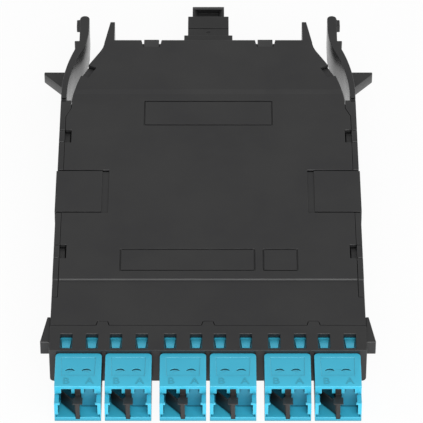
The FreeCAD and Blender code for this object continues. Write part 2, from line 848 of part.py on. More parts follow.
def make_adapter():
    """One duplex adapter: head with two mouths, body with two inner ports, sleeve bores,
    snap teeth, and the recesses on its top."""
    body = new_body("lc_adapter")
    half = S.head_width / 2
    head = new_sketch(body, "head_plan", offset=S.head_low)
    right = [(half, -S.mouth_reach), (half, -S.head_round, -S.head_round * 1.02),
             (half - S.head_round, 0)]
    outline(head, right + other_half(right))
    pad(body, head, S.head_high - S.head_low)

    rear = new_sketch(body, "adapter_body", "XZ_Plane")
    body_half = S.adapter_body_width / 2
    rectangle(rear, -body_half, body_half, S.bay_low + S.adapter_gap, BODY_TOP)
    pad(body, rear, S.adapter_rear, back=True)

    step = new_sketch(body, "mouth_step", offset=S.head_high)
    rectangle(step, -S.head_width, S.head_width, -S.mouth_reach - S.head_round, -S.hood_reach)
    pocket(body, step, S.head_high - S.ledge_height)

    mouth = new_sketch(body, "mouth", "XZ_Plane", S.mouth_reach)
    ledge_low = S.ledge_height - S.ledge_thick
    rectangle(mouth, -S.port_half, S.port_half, S.port_floor, ledge_low)
    pocket(body, mouth, S.mouth_reach - S.port_end)

    ledges = new_sketch(body, "ledges", offset=S.ledge_height)
    lip, ledge = half - S.lip_width, half - S.ledge_width
    front = -S.mouth_reach
    right = [(lip, front - S.lip_length), (lip, front + S.lip_length),
             (ledge, front + S.lip_length), (ledge, -S.hood_reach)]
    outline(ledges, right + other_half(right))
    pocket(body, ledges, S.ledge_thick + S.adapter_gap)

    ceiling = new_sketch(body, "port_ceiling", "XZ_Plane", S.hood_reach)
    rectangle(ceiling, -S.port_half, S.port_half, ledge_low - S.adapter_gap, S.port_roof)
    pocket(body, ceiling, S.hood_reach - S.port_end)

    slots = new_sketch(body, "latch_slots", "XZ_Plane", S.hood_reach)
    slot_low = S.port_roof - S.adapter_gap
    ports(slots, S.latch_width / 2, slot_low, S.latch_roof, S.latch_centre)
    rectangle(slots, -S.centre_slot / 2, S.centre_slot / 2, slot_low, S.latch_roof)
    pocket(body, slots, S.hood_reach - S.port_end)

    chamber = new_sketch(body, "shutter_chamber", "XZ_Plane", S.hood_reach - S.hood_wall)
    rectangle(chamber, -S.chamber_half, S.chamber_half, S.port_floor, S.latch_roof)
    pocket(body, chamber, S.hood_reach - S.hood_wall - S.chamber_end)

    feet = new_sketch(body, "mouth_corners", "XZ_Plane", S.mouth_reach)
    both_sides(feet, [(S.port_half - S.adapter_gap, S.port_floor),
                      (S.port_half + S.foot_wide, S.port_floor),
                      (S.port_half + S.foot_wide, S.port_floor + S.foot_high),
                      (S.port_half - S.adapter_gap, S.port_floor + S.foot_high)])
    pocket(body, feet, S.foot_long)

    notch = new_sketch(body, "divider_notch", "XZ_Plane", S.mouth_reach)
    foot = S.stub_half + S.adapter_gap
    rectangle(notch, -foot, foot, S.port_floor - S.divider_foot,
              S.port_floor + S.adapter_gap)
    pocket(body, notch, S.mouth_reach - S.stub_end + S.adapter_gap)
    return body


def finish_adapter(body):
    """Cuts the inner ports and the sleeve bores, and adds teeth and top recesses."""
    inner = new_sketch(body, "inner_ports", "XZ_Plane", -S.adapter_rear)
    ports(inner, S.plug_side / 2 + S.adapter_gap, S.port_floor, PLUG_HIGH + S.adapter_gap)
    pocket(body, inner, S.adapter_rear - S.web_end, back=True)

    latches = new_sketch(body, "inner_latch_slots", "XZ_Plane", -S.adapter_rear)
    ports(latches, S.latch_width / 2, PLUG_HIGH, S.latch_roof - S.adapter_gap)
    pocket(body, latches, S.adapter_rear - S.web_end, back=True)

    bores = new_sketch(body, "sleeve_bores", "XZ_Plane", S.port_end + S.adapter_gap)
    for side in (-1, 1):
        circle(bores, S.port_pitch * side / 2, PORT_CENTRE, S.sleeve_bore)
    pocket(body, bores, S.port_end + S.web_end + S.adapter_gap * 2)

    panel = new_sketch(body, "label_panel", offset=S.head_high)
    narrow = S.panel_half - S.panel_deep * 2
    outline(panel, [(-narrow, -S.panel_end), (narrow, -S.panel_end),
                    (S.panel_half, -S.panel_start), (-S.panel_half, -S.panel_start)])
    pocket(body, panel, S.panel_deep)

    dents = new_sketch(body, "grip_dents", offset=S.head_high)
    for side in (-1, 1):
        centre = S.dent_centre * side
        outline(dents, [(centre - S.dent_half, -S.dent_place, S.dent_half * 1.05),
                        (centre + S.dent_half, -S.dent_place, -S.dent_half * 2)])
    pocket(body, dents, S.panel_deep + S.dent_deep)

    teeth = new_sketch(body, "snap_teeth", offset=BODY_TOP)
    for side in (-1, 1):
        centre = S.window_offset * side
        outline(teeth, [(centre - S.tooth_front / 2, S.tooth_start),
                        (centre + S.tooth_front / 2, S.tooth_start),
                        (centre + S.tooth_rear / 2, S.tooth_end),
                        (centre - S.tooth_rear / 2, S.tooth_end)])
    pad(body, teeth, S.tooth_high)

    ramps = new_sketch(body, "tooth_ramps", "YZ_Plane")
    top = BODY_TOP + S.tooth_high
    outline(ramps, [(S.tooth_start + S.tooth_high, top), (S.tooth_end, BODY_TOP
                    + S.panel_deep), (S.tooth_end + S.tooth_high, top)])
    pocket(body, ramps, S.head_width, both=True)
    return body


def make_divider():
    """The insert between the two mouths, keyed into the adapter's centre slot. Its waist
    leaves room for the folded shutter."""
    body = new_body("port_divider")
    half, waist = S.divider_half, S.divider_web
    front = -S.mouth_reach + S.cover_gap
    rear = -S.port_end - S.adapter_gap
    web = new_sketch(body, "divider_plan", offset=PLUG_LOW)
    right = [(S.stub_half, front), (S.stub_half, -S.stub_end), (waist, -S.stub_end),
             (waist, -S.divider_block), (half, -S.divider_block), (half, rear)]
    outline(web, right + other_half(right))
    pad(body, web, S.roof_low - PLUG_LOW)

    foot = new_sketch(body, "divider_foot_plan", offset=PLUG_LOW - S.divider_foot)
    rectangle(foot, -S.stub_half, S.stub_half, front, -S.stub_end)
    pad(body, foot, S.divider_foot)

    roof = new_sketch(body, "divider_roof", offset=S.roof_low)
    right = [(S.roof_half, front), (S.roof_half, -S.roof_end), (half, -S.roof_end),
             (half, rear)]
    outline(roof, right + other_half(right))
    pad(body, roof, S.roof_thick)

    key_low = S.roof_low + S.roof_thick
    key = new_sketch(body, "divider_key", offset=key_low)
    rectangle(key, -half, half, -S.hood_reach, rear)
    pad(body, key, S.latch_roof - S.adapter_gap - key_low)
    return body


def make_shutter(label, length, height):
    """A shutter leaf that folds rearwards about its barrel, which is its own origin."""
    body = new_body(label)
    barrel = new_sketch(body, label + "_barrel", offset=S.leaf_low)
    circle(barrel, 0, 0, S.barrel)
    pad(body, barrel, height - S.leaf_low)
    leaf = new_sketch(body, label + "_leaf", "YZ_Plane")
    rectangle(leaf, 0, length, S.leaf_low, height)
    pad(body, leaf, S.leaf_thick, both=True)
    return body


def make_shutter_a():
    """The shutter of port A, with a tab that closes the latch slot too."""
    body = make_shutter("shutter_a", S.leaf_a_length, S.leaf_a_high)
    tab_sketch = new_sketch(body, "shutter_tab", "YZ_Plane")
    centre = S.leaf_a_pivot - S.latch_centre
    rectangle(tab_sketch, centre - S.leaf_a_tab / 2, centre + S.leaf_a_tab / 2,
              S.leaf_a_high - S.adapter_gap, S.leaf_a_tab_high)
    pad(body, tab_sketch, S.leaf_thick, both=True)
    return body


# ---------------------------------------------------------------- inside the LC adapters

def make_sleeves():
    """The two split sleeves that align the ferrules."""
    body = new_body("alignment_sleeves")
    rings = new_sketch(body, "sleeve_rings", "XZ_Plane", S.sleeve_length - S.web_end)
    for side in (-1, 1):
        centre = S.port_pitch * side / 2
        circle(rings, centre, PORT_CENTRE, S.sleeve_outer)
        circle(rings, centre, PORT_CENTRE, S.sleeve_inner)
    pad(body, rings, S.sleeve_length - S.adapter_gap, back=True)
    return body


def make_plug():
    """The duplex plug on the inside of an adapter: two bodies, their latches and a clip."""
    body = new_body("lc_plug")
    start = S.web_end + S.adapter_gap
    bodies = new_sketch(body, "plug_bodies", "XZ_Plane", -start)
    ports(bodies, S.plug_side / 2, PLUG_LOW, PLUG_HIGH)
    pad(body, bodies, S.plug_end - start, back=True)

    clip = new_sketch(body, "plug_clip", "XZ_Plane", -(S.adapter_rear + S.window_start))
    wide = S.port_pitch / 2 + S.plug_side / 2
    rectangle(clip, -wide, wide, PORT_CENTRE - S.clip_height / 2,
              PORT_CENTRE + S.clip_height / 2)
    pad(body, clip, S.clip_end - S.adapter_rear - S.window_start, back=True)

    latch = new_sketch(body, "plug_latches", "XZ_Plane", -start * 2)
    ports(latch, S.plug_latch_width / 2, PLUG_HIGH - S.adapter_gap, S.plug_latch_high)
    pad(body, latch, S.plug_end - start * 2, back=True)

    bores = new_sketch(body, "ferrule_bores", "XZ_Plane", -start + S.adapter_gap)
    for side in (-1, 1):
        circle(bores, S.port_pitch * side / 2, PORT_CENTRE, S.ferrule_r + S.adapter_gap)
    pocket(body, bores, S.ferrule_end - start)
    return body


def make_ferrules():
    """The two ceramic ferrules that reach from the plug into the sleeves."""
    body = new_body("lc_ferrules")
    rods = new_sketch(body, "ferrule_rods", "XZ_Plane", S.ferrule_reach)
    for side in (-1, 1):
        circle(rods, S.port_pitch * side / 2, PORT_CENTRE, S.ferrule_r)
    pad(body, rods, S.ferrule_reach + S.ferrule_end - S.adapter_gap * 2, back=True)
    return body


def rearward(x, y, z):
    """A placement whose own Z axis points to the rear."""
    return FreeCAD.Placement(VECTOR(x, y, z), FreeCAD.Rotation(VECTOR(1, 0, 0), -90))


def make_cone(name, x, y, z, low_r, high_r, length):
    """A cone that points to the rear."""
    cone = DOCUMENT.addObject("Part::Cone", name)
    bind(cone, "Radius1", low_r)
    bind(cone, "Radius2", high_r)
    bind(cone, "Height", length)
    cone.Placement = rearward(0, 0, 0)
    bind(cone, "Placement.Base.x", x)
    bind(cone, "Placement.Base.y", y)
    bind(cone, "Placement.Base.z", z)
    return cone


def make_boots():
    """The boots of all the inner LC plugs."""
    cones = []
    for centre in ADAPTER_PLACES:
        for side in (-1, 1):
            cones.append(make_cone("boot", centre + S.port_pitch * side / 2, S.clip_end,
                                   PORT_CENTRE, S.boot_r, S.boot_tip_r, S.boot_length))
    boots = DOCUMENT.addObject("Part::Compound", "lc_boots")
    boots.Label = "lc_boots"
    boots.Links = cones
    place(boots, 0, 0, 0)
    return boots


# ---------------------------------------------------------------- MPO adapter, cap and plug

def mpo_block(sketch, half_width, half_height):
    """Draws a rectangle about the MPO adapter's axis."""
    rectangle(sketch, -half_width, half_width, MPO_CENTRE - half_height,
              MPO_CENTRE + half_height)


def make_mpo_outer():
    """The outer half of the MPO adapter."""
    body = new_body("mpo_adapter_outer")
    start = S.housing_length + S.mpo_joint
    block = new_sketch(body, "mpo_outer_block", "XZ_Plane", -start)
    mpo_block(block, S.mpo_width / 2, S.mpo_height / 2)
    pad(body, block, S.mpo_reach - S.mpo_joint, back=True)
    port = new_sketch(body, "mpo_outer_port", "XZ_Plane", -start + S.cover_gap)
    mpo_block(port, S.mpo_port_width / 2, S.mpo_port_height / 2)
    pocket(body, port, S.mpo_reach - S.mpo_joint + S.cover_gap * 2)
    return body


def make_mpo_inner():
    """The inner half of the MPO adapter, with the flange that meets the rear wall."""
    body = new_body("mpo_adapter_inner")
    start = S.housing_length - S.mpo_inside
    end = S.housing_length + S.mpo_joint
    block = new_sketch(body, "mpo_inner_block", "XZ_Plane", -start)
    mpo_block(block, S.mpo_width / 2, S.mpo_height / 2)
    pad(body, block, end - S.joint_groove - start, back=True)
    weld = new_sketch(body, "mpo_weld", "XZ_Plane", -(end - S.joint_groove))
    mpo_block(weld, S.mpo_width / 2 - S.joint_groove, S.mpo_height / 2 - S.joint_groove)
    pad(body, weld, S.joint_groove, back=True)
    flange = new_sketch(body, "mpo_flange", "XZ_Plane", -S.housing_length)
    rectangle(flange, -S.mpo_flange_width / 2, S.mpo_flange_width / 2, S.mpo_low,
              SEAT + S.joint_groove)
    pad(body, flange, S.mpo_flange_thick, back=True)
    port = new_sketch(body, "mpo_inner_port", "XZ_Plane", -start + S.cover_gap)
    mpo_block(port, S.mpo_port_width / 2, S.mpo_port_height / 2)
    pocket(body, port, S.mpo_inside + S.mpo_joint + S.cover_gap * 2)
    dot = new_sketch(body, "mpo_dot_mark", offset=S.mpo_low + S.mpo_height)
    circle(dot, 0, end - S.mpo_dot_place, S.mpo_dot)
    pocket(body, dot, S.joint_groove)
    return body


def make_cap():
    """The dust cap in the MPO port, with finger dishes above and below."""
    body = new_body("mpo_dust_cap")
    mouth = S.housing_length + S.mpo_reach
    block = new_sketch(body, "cap_block", "XZ_Plane", -(mouth - S.cap_inside))
    mpo_block(block, S.cap_width / 2, S.cap_height / 2)
    pad(body, block, S.cap_inside + S.cap_reach, back=True)
    wide = S.cap_dish_width / 2
    narrow = S.cap_dish_floor / 2
    for name, side in (("upper", 1), ("lower", -1)):
        face = MPO_CENTRE + S.cap_height * side / 2
        floor = face - S.cap_dish * side
        dish = new_sketch(body, name + "_dish", "XZ_Plane", -mouth)
        outline(dish, [(-wide, face), (-narrow, floor), (narrow, floor), (wide, face)])
        pocket(body, dish, S.cap_reach - S.cap_rim)

    rims = new_sketch(body, "cap_rims", "YZ_Plane")
    end = mouth + S.cap_reach
    clear = S.cap_rim + S.cap_fall
    for side in (1, -1):
        face = MPO_CENTRE + S.cap_height * side / 2
        outline(rims, [(end - S.cap_rim, face), (end, face - S.cap_fall * side),
                       (end + clear, face - S.cap_fall * side), (end + clear, face)])
    pocket(body, rims, S.cap_width * 2, both=True)
    return body


def make_mpo_plug():
    """The MPO plug on the inside, with the slot for its ferrule."""
    body = new_body("mpo_plug")
    end = S.housing_length - S.rear_wall * 3
    start = end - S.mpo_plug_length
    block = new_sketch(body, "mpo_plug_block", "XZ_Plane", -start)
    mpo_block(block, S.mpo_port_width / 2 - S.mpo_plug_gap,
              S.mpo_port_height / 2 - S.mpo_plug_gap)
    pad(body, block, S.mpo_plug_length, back=True)
    slot = new_sketch(body, "mpo_ferrule_slot", "XZ_Plane", -start - S.mpo_boot_length)
    mpo_block(slot, S.mpo_ferrule_width / 2 + S.adapter_gap,
              S.mpo_ferrule_height / 2 + S.adapter_gap)
    pocket(body, slot, S.mpo_plug_length)
    return body


def make_mpo_ferrule():
    """The ferrule of the MPO plug."""
    body = new_body("mpo_ferrule")
    end = S.housing_length - S.rear_wall * 3
    start = end - S.mpo_plug_length + S.mpo_boot_length
    block = new_sketch(body, "mpo_ferrule_block", "XZ_Plane", -start)
    mpo_block(block, S.mpo_ferrule_width / 2, S.mpo_ferrule_height / 2)
    pad(body, block, S.housing_length - start, back=True)
    return body


def make_mpo_boot():
    """The boot behind the MPO plug. It narrows towards the trunk."""
    start = S.housing_length - S.rear_wall * 3 - S.mpo_plug_length - S.mpo_boot_length
    boot = make_cone("mpo_boot", 0, FRONT_FACE + start, MPO_CENTRE, S.trunk_r * 1.2,
                     S.mpo_boot_r, S.mpo_boot_length)
    boot.Label = "mpo_boot"
    return boot


# ---------------------------------------------------------------- fibres

def make_block():
    """The fan-out block that turns the trunk into single fibres."""
    body = new_body("fan_out_block")
    plan = new_sketch(body, "block_plan", offset=S.floor_thick)
    half = S.fibre_pitch * 11 / 2 + S.block_margin
    rectangle(plan, -half, half, S.block_place, S.block_place + S.block_length)
    pad(body, plan, S.block_top - S.floor_thick)
    return body


def tube(points, radius):
    """A round tube along straight runs joined by tangent arcs, each as large as its two
    runs allow. Prints its length and tightest radius."""
    edges = []
    start = points[0]
    tightest = None
    for before, corner, after in zip(points, points[1:], points[2:]):
        arriving, leaving = corner - before, after - corner
        turn = arriving.getAngle(leaving)
        cut = 0.45 * min(arriving.Length, leaving.Length)
        bend = cut / math.tan(turn / 2)
        tightest = bend if tightest is None else min(tightest, bend)
        first = corner - VECTOR(arriving).normalize() * cut
        last = corner + VECTOR(leaving).normalize() * cut
        inward = (first + last) * 0.5 - corner
        centre_reach = bend / math.cos(turn / 2)
        centre = corner + VECTOR(inward).normalize() * centre_reach
        middle = centre + (corner - centre).normalize() * bend
        edges.append(Part.LineSegment(start, first).toShape())
        edges.append(Part.Arc(first, middle, last).toShape())
        start = last
    edges.append(Part.LineSegment(start, points[-1]).toShape())
    path = Part.Wire(edges)
    heading = points[1] - points[0]
    ring = Part.Wire([Part.makeCircle(radius, points[0], heading)])
    solid = path.makePipeShell([ring], True, False)
    print("tube: length %.1f, tightest radius %.1f, volume ratio %.4f" % (
        path.Length, tightest, solid.Volume / (math.pi * radius ** 2 * path.Length)))
    return solid


def route_feature(label, solids):
    """Keeps routed tubes as one piece."""
    feature = DOCUMENT.addObject("Part::Feature", label)
    feature.Label = label
    feature.Shape = solids[0] if len(solids) == 1 else Part.Compound(solids)
    place(feature, 0, 0, 0)
    return feature


def make_trunk():
    """The fibre trunk from the MPO boot to the fan-out block, in a slack bow."""
    mpo_z = MPO_CENTRE.value
    block_z = PORT_CENTRE.value
    start = (S.housing_length - S.rear_wall * 3 - S.mpo_plug_length - S.mpo_boot_length).value
    end = (S.block_place + S.block_length).value
    run = (start - end) / 4
    bow = run / 2
    points = [VECTOR(0, start, mpo_z), VECTOR(0, start - run, mpo_z),
              VECTOR(bow, start - 2 * run, (mpo_z + block_z) / 2),
              VECTOR(0, start - 3 * run, block_z), VECTOR(0, end, block_z)]
    return route_feature("fibre_trunk", [tube(points, S.trunk_r.value)])


def make_fibres():
    """The single fibres from the fan-out block to the LC boots."""
    height = PORT_CENTRE.value
    start = S.block_place.value
    end = (S.clip_end + S.boot_length).value
    bend = (start - end) / 4
    places = []
    for centre in ADAPTER_PLACES:
        for side in (-1, 1):
            places.append((centre + S.port_pitch * side / 2).value)
    solids = []
    for number, x in enumerate(places):
        root = S.fibre_pitch.value * (number - (len(places) - 1) / 2)
        points = [VECTOR(root, start, height), VECTOR(root, start - bend, height),
                  VECTOR(x, end + bend, height), VECTOR(x, end, height)]
        solids.append(tube(points, S.fibre_r.value))
    return route_feature("fibre_fan", solids)


# ---------------------------------------------------------------- the whole cassette

def make_pieces():
    """Makes every piece and puts it in its place."""
    pieces = [finish_base(make_base()), finish_cover(make_cover())]
    pieces += [make_arm("release_arm_left", -1), make_arm("release_arm_right", 1)]
    pieces += copies(finish_adapter(make_adapter()), "lc_adapter", ADAPTER_PLACES)
    pieces += copies(make_divider(), "port_divider", ADAPTER_PLACES)
    pieces += copies(make_shutter_a(), "shutter_a",
                     [centre + S.leaf_a_pivot for centre in ADAPTER_PLACES],
                     -S.leaf_a_place, angle=90)
    pieces += copies(make_shutter("shutter_b", S.leaf_b_length, S.leaf_high), "shutter_b",
                     [centre - S.leaf_b_pivot for centre in ADAPTER_PLACES],
                     -S.leaf_b_place, angle=S.leaf_b_angle)
    pieces += copies(make_sleeves(), "alignment_sleeves", ADAPTER_PLACES)
    pieces += copies(make_plug(), "lc_plug", ADAPTER_PLACES)
    pieces += copies(make_ferrules(), "lc_ferrules", ADAPTER_PLACES)
    pieces.append(make_boots())
    pieces += [make_mpo_outer(), make_mpo_inner(), make_cap()]
    pieces += [make_mpo_plug(), make_mpo_ferrule(), make_mpo_boot()]
    pieces += [make_block(), make_trunk(), make_fibres()]
    return pieces


def check(pieces):
    """Stops if any object failed, a cut took nothing away, or a piece isn't a sound solid."""
    for thing in DOCUMENT.Objects:
        if "Invalid" in thing.State or "Error" in thing.State:
            raise RuntimeError("%s: %s" % (thing.Label, thing.State))
        if thing.TypeId == "PartDesign::Pocket":
            before = thing.BaseFeature.Shape.Volume
            if thing.Shape.Volume > before - 1e-4:
                raise RuntimeError("%s cuts nothing" % thing.Name)
    for piece in pieces:
        shape = piece.Shape
        if shape.isNull() or not shape.isValid() or not shape.Solids:
            raise RuntimeError("%s is not a sound solid" % piece.Label)


def write(pieces):
    """Writes each piece to a file of its own name."""
    os.makedirs("parts", exist_ok=True)
    for piece in pieces:
        piece.Shape.exportStep(os.path.join("parts", piece.Label + ".step"))
        print("%s: %d solids, %.1f mm3" % (
            piece.Label, len(piece.Shape.Solids), piece.Shape.Volume))


def main():
    """Makes, checks and writes the cassette."""
    pieces = make_pieces()
    DOCUMENT.recompute()
    check(pieces)
    write(pieces)


main()
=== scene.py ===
import logging
import math
from dataclasses import dataclass
from enum import Enum
from typing import Dict, Sequence, Tuple

import bmesh
import bpy
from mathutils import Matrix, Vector


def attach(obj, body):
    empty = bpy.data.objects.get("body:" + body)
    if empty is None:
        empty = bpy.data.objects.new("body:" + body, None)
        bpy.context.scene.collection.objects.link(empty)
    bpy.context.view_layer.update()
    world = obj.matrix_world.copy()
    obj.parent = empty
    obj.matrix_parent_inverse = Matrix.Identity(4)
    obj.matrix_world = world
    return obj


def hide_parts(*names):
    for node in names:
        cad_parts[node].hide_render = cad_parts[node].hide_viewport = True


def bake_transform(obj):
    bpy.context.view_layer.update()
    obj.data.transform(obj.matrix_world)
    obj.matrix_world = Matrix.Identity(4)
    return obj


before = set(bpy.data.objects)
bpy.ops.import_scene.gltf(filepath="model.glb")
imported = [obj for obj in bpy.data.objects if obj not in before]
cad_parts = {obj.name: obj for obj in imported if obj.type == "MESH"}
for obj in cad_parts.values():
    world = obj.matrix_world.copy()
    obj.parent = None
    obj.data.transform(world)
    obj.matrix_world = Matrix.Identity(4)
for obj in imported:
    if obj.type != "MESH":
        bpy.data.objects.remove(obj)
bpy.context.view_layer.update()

# The looks of the fibre cassette. Lengths are metres, in the frame of the construction: the
# origin is the centre of the housing's underside, +Y points to the rear and +Z up.

MM = 0.001
LOG = logging.getLogger("cassette")
PORTS = 6

# Corners of the construction's loose triangles closer than this are one corner, and faces
# that turn by less than FLUSH_TURN are one face.
WELD_GAP = 0.002 * MM
FLUSH_TURN = math.radians(0.6)
# Edges that turn by more than this are rounded.
EDGE_TURN = math.radians(28)
# A face over this area stays flat up to every edge that turns by more than FLAT_TURN.
BROAD_FACE = 60.0 * MM * MM
FLAT_TURN = math.radians(0.2)
# Smaller faces run smoothly into each other up to this turn.
CRISP_TURN = math.radians(20)
# The middle part of a noise pattern, which is spread over the whole range.
NOISE_SPAN = (0.35, 0.65)
# How much the handling marks take off the roughness, and how strong the grain's relief is.
MARK_GLOSS = 0.16
GRAIN_RELIEF = 0.35
WHITE = (1.0, 1.0, 1.0, 1.0)

Colour = Tuple[float, float, float]
Place = Tuple[float, float, float]


# ---------------------------------------------------------------- node helpers

class Sheet:
    """A node tree that is filled from left to right."""

    def __init__(self, tree: bpy.types.NodeTree) -> None:
        """Keeps the tree and empties it.

        Args:
            tree: the tree to fill.
        """
        self.tree = tree
        tree.nodes.clear()

    def add(self, kind: str, **settings: object) -> bpy.types.Node:
        """Adds a node.

        Args:
            kind: the node's type name.
            **settings: properties of the node, such as its operation.

        Returns:
            The new node.
        """
        node = self.tree.nodes.new(kind)
        for name, value in settings.items():
            setattr(node, name, value)
        return node

    def feed(self, socket: bpy.types.NodeSocket, source: object) -> None:
        """Gives a socket a value, or links it to another node's output.

        Args:
            socket: the input.
            source: an output socket, or a plain value.
        """
        if isinstance(source, bpy.types.NodeSocket):
            self.tree.links.new(source, socket)
        else:
            socket.default_value = source

    def effect(self, group: bpy.types.NodeTree, **inputs: object) -> bpy.types.Node:
        """Places a shared effect.

        Args:
            group: the effect's node group.
            **inputs: its inputs, as outputs or numbers.

        Returns:
            The group's node.
        """
        node = self.add("ShaderNodeGroup", node_tree=group)
        for title, source in inputs.items():
            self.feed(node.inputs[title], source)
        return node

    def maths(self, operation: str, *sources: object) -> bpy.types.NodeSocket:
        """Adds a Math node.

        Args:
            operation: the node's operation.
            *sources: its inputs, as outputs or numbers.

        Returns:
            Its output.
        """
        node = self.add("ShaderNodeMath", operation=operation)
        for socket, source in zip(node.inputs, sources):
            self.feed(socket, source)
        return node.outputs[0]

    def noise(self, vector: object, scale: object, detail: float = 3.0) -> bpy.types.NodeSocket:
        """Adds a noise pattern.

        Args:
            vector: the coordinates it reads.
            scale: features for each metre, as an output or a number.
            detail: octaves.

        Returns:
            Its factor.
        """
        node = self.add("ShaderNodeTexNoise")
        self.feed(node.inputs["Vector"], vector)
        self.feed(node.inputs["Scale"], scale)
        node.inputs["Detail"].default_value = detail
        return node.outputs["Fac"]

    def spread(self, source: object, low: float, high: float, to_low: float = 0.0,
               to_high: float = 1.0) -> bpy.types.NodeSocket:
        """Maps one range onto another, and clamps it.

        Args:
            source: the value.
            low: the start of its range.
            high: the end of its range.
            to_low: what low becomes.
            to_high: what high becomes.

        Returns:
            The mapped value.
        """
        node = self.add("ShaderNodeMapRange")
        for name, value in (("Value", source), ("From Min", low), ("From Max", high),
                            ("To Min", to_low), ("To Max", to_high)):
            self.feed(node.inputs[name], value)
        return node.outputs["Result"]

    def blend(self, factor: object, first: object, second: object) -> bpy.types.NodeSocket:
        """Mixes two colours by a mask.

        Args:
            factor: the mask.
            first: the colour where the mask is 0, as an output or a plain colour.
            second: the colour where it is 1.

        Returns:
            The mixed colour.
        """
        node = self.add("ShaderNodeMix", data_type="RGBA")
        self.feed(node.inputs[0], factor)
        for socket, colour in ((node.inputs[6], first), (node.inputs[7], second)):
            self.feed(socket, (*colour, 1.0) if isinstance(colour, tuple) else colour)
        return node.outputs[2]


def linear(red: int, green: int, blue: int) -> Colour:
    """Turns a colour as it is seen on a screen, 0 to 255, into a linear one."""
    seen = (red / 255, green / 255, blue / 255)
    return tuple(c / 12.92 if c <= 0.04045 else ((c + 0.055) / 1.055) ** 2.4 for c in seen)


# ---------------------------------------------------------------- shared shader effects

